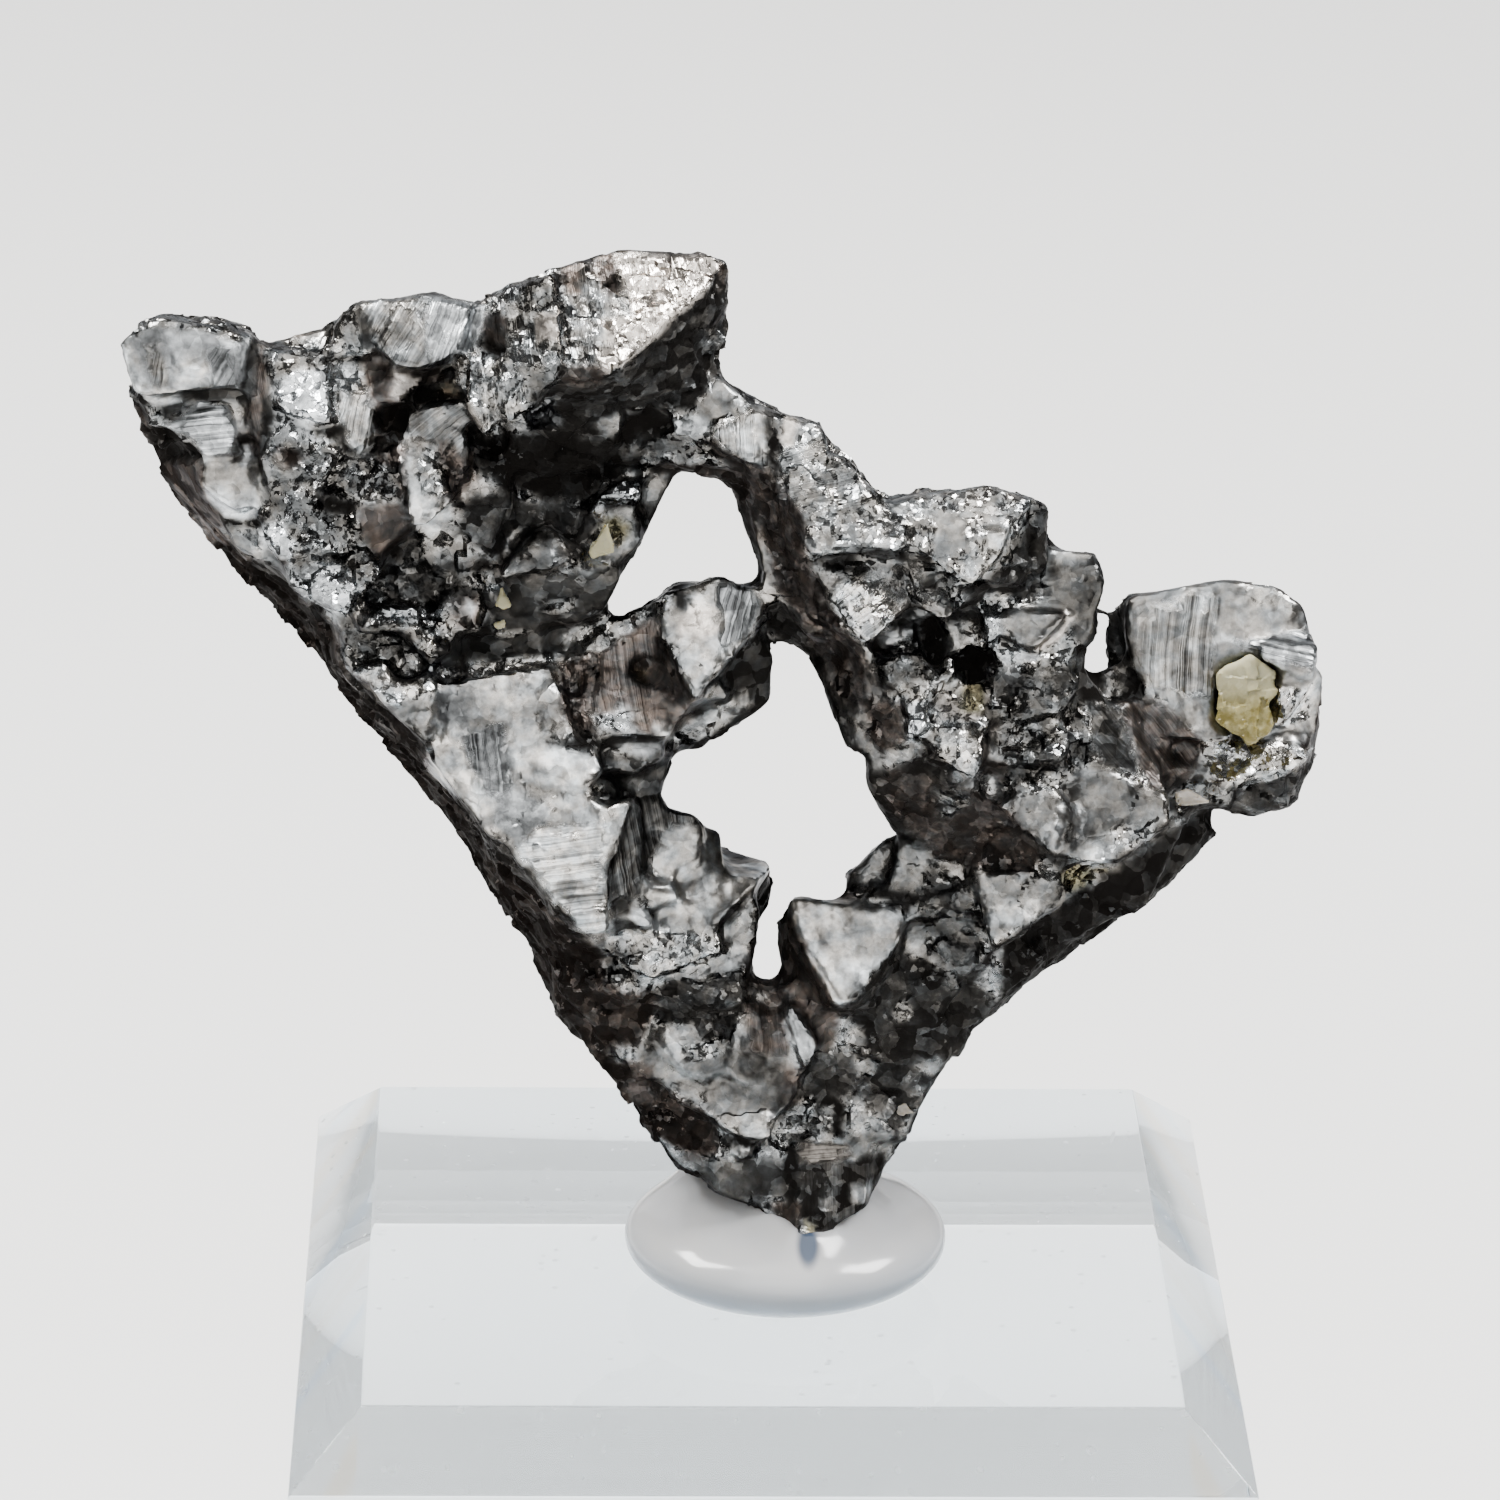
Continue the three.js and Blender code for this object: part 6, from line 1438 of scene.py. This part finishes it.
@dataclass
class CrystalCluster:
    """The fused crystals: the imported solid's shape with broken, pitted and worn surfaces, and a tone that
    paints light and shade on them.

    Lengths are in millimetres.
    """

    grid: float = 0.14
    crack: float = 0.26
    rounding: int = 5
    triangles: int = 196000
    sharp_edge: float = 24.0
    proxy_grid: float = 0.5
    rays: int = 20
    ray_seed: int = 3
    ray_gap: float = 0.15
    reach: float = 5.0
    bend: SoftNoise = SoftNoise(2.3, 5)
    bend_reach: float = 0.12
    border: SoftNoise = SoftNoise(0.8, 9)
    fine_border: SoftNoise = SoftNoise(0.3, 47)
    fine_border_share: float = 0.6
    ridges: SoftNoise = SoftNoise(0.26, 51)
    ridge_height: float = 0.045
    blotches: SoftNoise = SoftNoise(1.6, 41)
    stains: SoftNoise = SoftNoise(2.6, 43)
    warmths: SoftNoise = SoftNoise(3.4, 45)
    breaks: SoftNoise = SoftNoise(2.4, 49)
    hollow_depth: float = 0.42
    # Painted light and shade where no face is outlined: base tone, gain on upturned faces, shade under.
    dull_tone: float = 0.26
    painted_light_gain: float = 0.40
    under_shade: float = 0.5
    stain_strength: float = 0.8
    least_broken: float = 0.28
    broken_gain: float = 0.55
    line_strength: float = 1.05
    line_loss: float = 0.75
    # Painted shade: how dark the tone gets in the dips of the relief.
    painted_dip_shade: float = 0.72
    # Painted shade: how dark the tone gets where the surroundings close in.
    painted_recess_shade: float = 0.70
    clearance: float = 0.14
    calm_margin: float = 0.35
    calm_from: float = 0.9
    calm_to: float = 1.5
    small_crystals: tuple[tuple[Place, float, Place], ...] = (
        ((-5.02, -5.80, 33.32), 1.35, (0.5, 0.6, 0.3)),
    )
    reliefs: tuple[BrokenRelief, ...] = (
        BrokenRelief(1.7, 0.12, 11),
        BrokenRelief(0.95, 0.21, 23, (1.5, 1.0, 1.0), 25.0),
        BrokenRelief(0.45, 0.055, 37),
    )
    finish: AcanthiteFinish = field(default_factory=AcanthiteFinish)

    def build(self) -> Piece:
        """Makes the crystals and dresses them.

        Returns:
            The finished piece.
        """
        piece = copy_of_node("acanthite_cluster", "acanthite_crystals")
        self.add_small_crystals(piece)
        openness = self.openness_of(piece)
        self.close_cracks(piece)
        finish_modifier(piece, "SMOOTH", factor=0.5, iterations=self.rounding)
        self.break_surface(piece, openness)
        faces = sum(len(polygon.vertices) - 2 for polygon in piece.data.polygons)
        finish_modifier(piece, "DECIMATE", ratio=min(1.0, self.triangles / faces))
        alone(piece)
        bpy.ops.object.shade_smooth_by_angle(angle=math.radians(self.sharp_edge))
        put_in_place(piece, "acanthite_cluster", self.finish.material())
        return piece

    def add_small_crystals(self, piece: Piece) -> None:
        """Adds the small crystals that grow in the gaps between the large ones.

        Args:
            piece: the crystals, in millimetres.
        """
        for place, size, turn in self.small_crystals:
            bpy.ops.object.select_all(action="DESELECT")
            bpy.ops.mesh.primitive_cube_add(size=size, location=place, rotation=turn)
            piece.select_set(True)
            bpy.context.view_layer.objects.active = piece
            bpy.ops.object.join()

    def close_cracks(self, piece: Piece) -> None:
        """Grows neighbouring crystals together where only a thin crack parts them.

        Args:
            piece: the crystals, which get an even mesh.
        """
        for swelling in (self.crack, -self.crack):
            finish_modifier(piece, "REMESH", mode="VOXEL", voxel_size=self.grid)
            finish_modifier(piece, "DISPLACE", strength=swelling, mid_level=0.0)
        finish_modifier(piece, "REMESH", mode="VOXEL", voxel_size=self.grid)

    def break_surface(self, piece: Piece, openness: Openness) -> None:
        """Adds the relief, darkens the tone in its dips as painted shade, and keeps the marks on the
        crystals.

        Args:
            piece: the crystals with their even mesh.
            openness: what openness_of gave.
        """
        points, normals = points_of(piece), normals_of(piece)
        marks = self.marks_of(points, normals, openness)
        heights = self.heights_of(points, marks)
        for node in BURIED_GRAINS:
            heights = self.calmed(heights, points, node)
        bend = self.bend_reach * self.bend.values(points, 3)
        move_points(piece, points + bend + normals * heights[:, None])
        # Painted shade: the tone darkens in the dips of the relief.
        marks["tone"] *= self.painted_dip_shade + (1 - self.painted_dip_shade) * smooth_step(-0.16, 0.02, heights)
        for name in KEPT_MARKS:
            keep_values(piece, name, marks[name])

    def openness_of(self, piece: Piece) -> Openness:
        """How open the surroundings are, measured on a coarser copy.

        Args:
            piece: the crystals before their relief.

        Returns:
            The measured points' tree and the openness at each.
        """
        rough = piece.copy()
        rough.data = piece.data.copy()
        bpy.context.scene.collection.objects.link(rough)
        finish_modifier(rough, "REMESH", mode="VOXEL", voxel_size=self.proxy_grid)
        points, normals = points_of(rough), normals_of(rough)
        solid = BVHTree.FromPolygons(
            [Vector(point) for point in points],
            [tuple(polygon.vertices) for polygon in rough.data.polygons])
        rng = np.random.default_rng(self.ray_seed)
        directions = rng.normal(size=(self.rays, 3))
        directions /= np.linalg.norm(directions, axis=1)[:, None]
        openness = np.zeros(len(points))
        for direction in directions:
            leaning = normals @ direction
            aimed = np.where(leaning[:, None] < 0, -1, 1) * direction
            weight = np.abs(leaning)
            start = points + normals * self.ray_gap
            free = np.array([
                solid.ray_cast(Vector(first), Vector(way), self.reach)[0] is None
                for first, way in zip(start, aimed)
            ])
            openness += weight * free
        total = np.abs(normals @ directions.T).sum(axis=1)
        tree = KDTree(len(points))
        for number, point in enumerate(points):
            tree.insert(point, number)
        tree.balance()
        bpy.data.objects.remove(rough)
        return tree, openness / total

    def marks_of(self, points: np.ndarray, normals: np.ndarray,
                 openness: Openness) -> dict[str, np.ndarray]:
        """How bright, warm, brown, yellow, rough and striated the surface is, with painted light and shade.

        Args:
            points: the vertices, in millimetres.
            normals: their normals.
            openness: what openness_of gave.

        Returns:
            One number for each vertex under each mark's name.
        """
        tree, values = openness
        opened = np.array([values[tree.find(point)[1]] for point in points])
        seen, facing = self.seen_from_front(points, normals)
        marks = self.plain_marks(points, normals, opened)
        wobble = self.border.values(points)[:, 0]
        wobble += self.fine_border_share * self.fine_border.values(points)[:, 0]
        on_front = smooth_step(-0.2, 0.08, facing)
        # Each outlined face lays its painted light and shade over the marks, as seen from the front.
        for face in FACES:
            near = face.near(seen)
            part = face.share(seen[near], wobble[near]) * on_front[near]
            self.lay(marks, face, near, part, seen[near])
        # Painted shade: the tone darkens where the surroundings close in.
        marks["tone"] *= self.painted_recess_shade + (1 - self.painted_recess_shade) * smooth_step(0.15, 0.6, opened)
        return marks

    def seen_from_front(self, points: np.ndarray, normals: np.ndarray) -> tuple[np.ndarray, np.ndarray]:
        """Where the vertices are seen from the front, and how much they face it.

        Args:
            points: the vertices, in millimetres.
            normals: their normals.

        Returns:
            One row of x and z for each vertex, and one number from -1 to 1 for each.
        """
        away = points - FOOT
        share = (SEEN_FROM[1] / (SEEN_FROM[1] - away[:, 1]))[:, None]
        seen = (SEEN_FROM + share * (away - SEEN_FROM))[:, [0, 2]]
        towards = SEEN_FROM - away
        towards /= np.linalg.norm(towards, axis=1)[:, None]
        return seen, (normals * towards).sum(axis=1)

    def plain_marks(self, points: np.ndarray, normals: np.ndarray,
                    opened: np.ndarray) -> dict[str, np.ndarray]:
        """The marks where no outlined face lies: painted light on upturned faces, painted shade under them.

        Args:
            points: the vertices, in millimetres.
            normals: their normals.
            opened: how open the surroundings are.

        Returns:
            One number for each vertex under each mark's name.
        """
        facing_lamps = np.maximum(normals @ (0.0, -0.9, 0.43), normals @ (0.0, 0.9, 0.43))
        blotch = self.blotches.values(points)[:, 0]
        stain = self.stains.values(points)[:, 0]
        broken = self.breaks.values(points)[:, 0]
        # Painted light: faces turned up towards the lamps, and open to them, get a lighter tone.
        lit = smooth_step(0.35, 0.95, facing_lamps + 0.18 * blotch) * smooth_step(0.2, 0.75, opened)
        # Painted shade: faces turned down get a darker tone.
        under = smooth_step(0.0, -0.5, normals[:, 2])
        return {
            "tone": (self.dull_tone + self.painted_light_gain * lit) * (1 - self.under_shade * under),
            "warmth": self.warmths.values(points)[:, 0],
            "brown": self.stain_strength * smooth_step(0.05, 0.6, stain) * (1 - lit),
            "yellow": np.zeros(len(points)),
            "rough": self.least_broken + self.broken_gain * smooth_step(-0.35, 0.45, broken),
            "streak": np.zeros(len(points)),
            "across": points[:, 0].copy(),
            "sunk": np.zeros(len(points)),
        }

    def lay(self, marks: dict[str, np.ndarray], face: Face, near: np.ndarray, part: np.ndarray,
            seen: np.ndarray) -> None:
        """Lays one face over the marks so far.

        Args:
            marks: the marks, which are changed.
            face: the face.
            near: which vertices it may touch.
            part: how much each of those belongs to it.
            seen: where those are seen from the front.
        """
        warmth, brown, yellow = face.film.value
        lined = self.line_strength - self.line_loss * face.surface.value
        goals = {
            "tone": face.tone,
            "rough": face.surface.value,
            "warmth": warmth,
            "brown": brown,
            "yellow": yellow,
            "streak": 0.0 if face.lines is None else lined,
            "sunk": 1.0 if face.is_hollow() else 0.0,
        }
        for name, goal in goals.items():
            marks[name][near] += part * (goal - marks[name][near])
        if face.lines is not None:
            slant = math.radians(face.lines)
            across = seen @ (-math.sin(slant), math.cos(slant))
            marks["across"][near] = np.where(part > 0.4, across, marks["across"][near])

    def calmed(self, heights: np.ndarray, points: np.ndarray, node: str) -> np.ndarray:
        """Keeps the relief from rising over a grain.

        Args:
            heights: the relief's height at each vertex.
            points: the vertices, in millimetres.
            node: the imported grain.

        Returns:
            The heights, lower round the grain.
        """
        corners = np.array([corner.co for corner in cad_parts[node].data.vertices]) / MM
        middle = (corners.min(axis=0) + corners.max(axis=0)) / 2
        half = (corners.max(axis=0) - corners.min(axis=0)) / 2
        away = np.linalg.norm((points - middle) / (half + self.calm_margin), axis=1)
        near = smooth_step(self.calm_to, self.calm_from, away)
        return heights * (1 - near) - self.clearance * near

    def heights_of(self, points: np.ndarray, marks: dict[str, np.ndarray]) -> np.ndarray:
        """The height of the broken relief, the striations and the hollows.

        Args:
            points: the vertices, in millimetres.
            marks: the marks at each vertex.

        Returns:
            The height at each vertex.
        """
        rough = marks["rough"]
        heights = self.reliefs[0].heights(points) * (0.2 + 0.8 * rough)
        for relief in self.reliefs[1:]:
            heights += relief.heights(points) * rough
        row = np.stack([marks["across"], np.zeros(len(points)), np.zeros(len(points))], axis=1)
        heights += self.ridge_height * marks["streak"] * self.ridges.values(row)[:, 0]
        return heights - self.hollow_depth * marks["sunk"]


@dataclass
class MilkyTack:
    """The squashed ball of tack round the foot, with a lip where the foot pushes it up.

    Lengths are in millimetres.
    """

    radius: float = 5.45
    half_height: float = 1.93
    rise: float = 1.67
    segments: int = 128
    lip: float = 0.35
    lip_width: float = 0.55
    lip_from: float = 19.6
    lip_to: float = 21.2
    swell: SoftNoise = SoftNoise(3.1, 61)
    swell_height: float = 0.06
    sharp_edge: float = 50.0
    finish: MilkyTackFinish = field(default_factory=MilkyTackFinish)

    def build(self, crystals: Piece) -> Piece:
        """Makes the tack and dresses it.

        Args:
            crystals: the finished crystals, whose foot the tack hugs.

        Returns:
            The finished piece.
        """
        centre = FOOT + (0, 0, self.rise)
        bpy.ops.object.select_all(action="DESELECT")
        bpy.ops.mesh.primitive_uv_sphere_add(
            segments=self.segments, ring_count=self.segments // 2, radius=1.0)
        piece = bpy.context.object
        piece.name = piece.data.name = "milky_tack_blob"
        piece.data.transform(Matrix.Diagonal((self.radius, self.radius, self.half_height, 1)))
        piece.data.transform(Matrix.Translation(centre))
        in_edit_mode(
            piece,
            (bpy.ops.mesh.bisect, {"plane_co": tuple(FOOT), "plane_no": (0, 0, 1), "clear_inner": True,
                                   "use_fill": True}),
        )
        self.raise_lip(piece, crystals)
        alone(piece)
        bpy.ops.object.shade_smooth_by_angle(angle=math.radians(self.sharp_edge))
        put_in_place(piece, "mineral_tack", self.finish.material())
        return piece

    def raise_lip(self, piece: Piece, crystals: Piece) -> None:
        """Pushes the skin up a little all along the foot, and makes it slightly uneven.

        Args:
            piece: the tack.
            crystals: the finished crystals.
        """
        points = points_of(piece)
        solid = BVHTree.FromObject(crystals, bpy.context.evaluated_depsgraph_get())
        gaps = np.array([solid.find_nearest(Vector(point) * MM)[3] / MM for point in points])
        top = smooth_step(self.lip_from, self.lip_to, points[:, 2])
        lip = self.lip * np.exp(-((gaps / self.lip_width) ** 2)) * top
        uneven = self.swell_height * self.swell.values(points)[:, 0] * top
        points[:, 2] += lip + uneven
        move_points(piece, points)


@dataclass
class AcrylicBlock:
    """The clear block with its broad bevel and slightly eased edges.

    Lengths are in millimetres and angles in degrees. A face whose normal rises more than upward faces up.
    """

    side: float = 31.75
    height: float = 19.0
    bevel_run: float = 2.34
    bevel_drop: float = 2.17
    upward: float = 0.5
    ease: float = 0.07
    ease_steps: int = 2
    ease_angle: float = 20.0
    sharp_edge: float = 24.0
    finish: ClearAcrylicFinish = field(default_factory=ClearAcrylicFinish)

    def build(self) -> Piece:
        """Makes the block and dresses it.

        Returns:
            The finished piece.
        """
        bpy.ops.object.select_all(action="DESELECT")
        wall = self.height - self.bevel_drop
        bpy.ops.mesh.primitive_cube_add(size=1.0)
        piece = bpy.context.object
        piece.name = piece.data.name = "clear_block"
        piece.data.transform(Matrix.Diagonal((self.side, self.side, wall, 1)))
        piece.data.transform(Matrix.Translation((0, 0, wall / 2)))
        alone(piece)
        bpy.ops.object.mode_set(mode="EDIT")
        bpy.ops.mesh.select_all(action="DESELECT")
        bpy.ops.object.mode_set(mode="OBJECT")
        for face in piece.data.polygons:
            face.select = face.normal.z > self.upward
        bpy.ops.object.mode_set(mode="EDIT")
        shrink = 1 - 2 * self.bevel_run / self.side
        bpy.ops.mesh.extrude_region_move(
            TRANSFORM_OT_translate={"value": (0, 0, self.bevel_drop)})
        bpy.ops.transform.resize(value=(shrink, shrink, 1), center_override=(0, 0, self.height))
        bpy.ops.object.mode_set(mode="OBJECT")
        finish_modifier(piece, "BEVEL", width=self.ease, segments=self.ease_steps, limit_method="ANGLE",
                        angle_limit=math.radians(self.ease_angle), harden_normals=False)
        alone(piece)
        bpy.ops.object.shade_smooth_by_angle(angle=math.radians(self.sharp_edge))
        put_in_place(piece, "acrylic_base", self.finish.material())
        return piece


@dataclass
class MineralGrains:
    """The yellow grains, the pale grain and the white bead that sit on the specimen.

    Lengths are in millimetres. The bead comes forward along the line of sight, out of the crystals that
    hide it.
    """

    yellow: GrainFinish = GrainFinish(
        "yellow_grain", (0.225, 0.20, 0.09), (0.11, 0.088, 0.018), (0.28, 0.265, 0.175))
    pale: GrainFinish = GrainFinish(
        "pale_grain", (0.27, 0.25, 0.22), (0.17, 0.155, 0.135), (0.27, 0.25, 0.22))
    bead_forward: Place = (-0.065, -1.43, 0.60)
    large_ragged: float = 0.26
    chip: float = 0.06
    relief_size: float = 0.5
    relief_height: float = 0.07
    relief_seed: int = 71
    ragged_lift: float = 0.1
    ragged_swell: float = 0.25
    ragged_wander: float = 0.5
    waist: float = 0.4
    wander: SoftNoise = SoftNoise(0.5, 73)
    sharp_edge: float = 30.0

    def build(self) -> list[Piece]:
        """Makes the grains and dresses them.

        Returns:
            The finished pieces.
        """
        yellow, pale = self.yellow.material(), self.pale.material()
        large, *small = YELLOW_NODES
        made = [self.grain(large, "yellow_grain", yellow, self.large_ragged)]
        made += [self.grain(node, "yellow_grain", yellow) for node in small]
        made += [self.grain(node, "pale_grain", pale) for node in PALE_NODES]
        return made

    def grain(self, node: str, slot: str, material: Material, ragged: float = 0.0) -> Piece:
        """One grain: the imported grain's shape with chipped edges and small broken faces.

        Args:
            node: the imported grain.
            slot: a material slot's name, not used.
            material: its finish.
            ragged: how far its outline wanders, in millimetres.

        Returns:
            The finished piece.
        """
        piece = copy_of_node(node, node + "_chip")
        if node == BEAD_NODE:
            piece.data.transform(Matrix.Translation(self.bead_forward))
        finish_modifier(piece, "BEVEL", width=self.chip, segments=1, limit_method="ANGLE")
        finish_modifier(piece, "REMESH", mode="VOXEL", voxel_size=self.chip)
        points, normals = points_of(piece), normals_of(piece)
        lift = self.relief_height + self.ragged_lift * ragged
        relief = BrokenRelief(self.relief_size, lift, self.relief_seed)
        heights = relief.heights(points) + self.ragged_swell * ragged
        middle = (points.min(axis=0) + points.max(axis=0)) / 2
        reach = self.ragged_wander * ragged
        waist = reach * np.exp(-(((points[:, 2] - middle[2]) / self.waist) ** 2))
        wander = reach * self.wander.values(points, 3) * (1.0, 0.2, 1.0)
        wander[:, 0] -= waist * (points[:, 0] - middle[0])
        move_points(piece, points + wander + normals * heights[:, None])
        alone(piece)
        bpy.ops.object.shade_smooth_by_angle(angle=math.radians(self.sharp_edge))
        put_in_place(piece, node, material)
        return piece


# Studio

LIT_PLACE = (0.0, 0.0, 38.0)


@dataclass(frozen=True)
class SoftLight:
    """A square soft light that points at the specimen. Its place and width are in millimetres."""

    name: str
    place: Place
    width: float
    power: float
    tint: Colour = (1.0, 1.0, 1.0)

    def build(self) -> None:
        """Adds the light."""
        lamp = bpy.data.lights.new(self.name, "AREA")
        lamp.shape = "SQUARE"
        lamp.size = self.width * MM
        lamp.energy = self.power
        lamp.color = self.tint
        light = bpy.data.objects.new(self.name, lamp)
        place = Vector(self.place) * MM
        light.location = place
        light.rotation_euler = (Vector(LIT_PLACE) * MM - place).to_track_quat("-Z", "Y").to_euler()
        bpy.context.scene.collection.objects.link(light)


@dataclass(frozen=True)
class PhotoCamera:
    """The camera, where the photograph was taken from. Lengths are in millimetres, angles in degrees."""

    eye: Place = (-6.66, -250.24, 129.42)
    lens: float = 190.27
    bearing: float = 1.36
    dip: float = 20.27
    tilt: float = 0.71
    sensor: float = 36.0
    nearest: float = 10.0

    def build(self) -> None:
        """Adds the camera."""
        camera_data = bpy.data.cameras.new("photo_camera")
        camera_data.lens = self.lens
        camera_data.sensor_width = self.sensor
        camera_data.clip_start = self.nearest * MM
        camera = bpy.data.objects.new("photo_camera", camera_data)
        turn = (
            Matrix.Rotation(math.radians(-self.bearing), 4, "Z")
            @ Matrix.Rotation(math.radians(90 - self.dip), 4, "X")
            @ Matrix.Rotation(math.radians(self.tilt), 4, "Z")
        )
        camera.matrix_world = Matrix.Translation(Vector(self.eye) * MM) @ turn
        bpy.context.scene.collection.objects.link(camera)
        bpy.context.scene.camera = camera


@dataclass(frozen=True)
class Studio:
    """The pale floor, the soft lights and the dim room round them."""

    floor_side: float = 4000.0
    room: Colour = (0.085, 0.085, 0.084)
    lights: tuple[SoftLight, ...] = (
        SoftLight("soft_light_left", (-230.0, 40.0, 380.0), 170.0, 5.5, (1.0, 0.99, 0.97)),
        SoftLight("soft_light_right", (250.0, 0.0, 360.0), 160.0, 4.5, (1.0, 0.99, 0.98)),
        SoftLight("soft_light_front", (-40.0, -440.0, 270.0), 480.0, 2.1, (1.0, 0.99, 0.97)),
        SoftLight("soft_light_top", (0.0, -150.0, 430.0), 320.0, 1.1, (1.0, 0.99, 0.97)),
        SoftLight("soft_light_back", (0.0, 420.0, 240.0), 420.0, 0.7, (0.97, 0.98, 1.0)),
    )
    floor_finish: PaleFloorFinish = PaleFloorFinish()

    def build(self) -> None:
        """Sets up the floor, the lights and the room."""
        bpy.ops.object.select_all(action="DESELECT")
        bpy.ops.mesh.primitive_plane_add(size=self.floor_side * MM)
        floor = bpy.context.object
        floor.name = "pale_floor"
        floor.data.materials.append(self.floor_finish.material())
        for light in self.lights:
            light.build()
        world = bpy.data.worlds.new("dim_room")
        world.use_nodes = True
        world.node_tree.nodes["Background"].inputs[0].default_value = (*self.room, 1.0)
        bpy.context.scene.world = world


def main() -> None:
    """Builds the camera, the studio and each piece in order."""
    logging.basicConfig(level=logging.INFO, format="%(message)s")
    PhotoCamera().build()
    Studio().build()
    crystals = CrystalCluster().build()
    LOG.info("crystals: %d triangles", len(crystals.data.polygons))
    tack = MilkyTack().build(crystals)
    LOG.info("tack: %d faces", len(tack.data.polygons))
    block = AcrylicBlock().build()
    LOG.info("block: %d faces", len(block.data.polygons))
    for grain in MineralGrains().build():
        LOG.info("%s: %d faces", grain.name, len(grain.data.polygons))


if __name__ == "__main__":
    main()
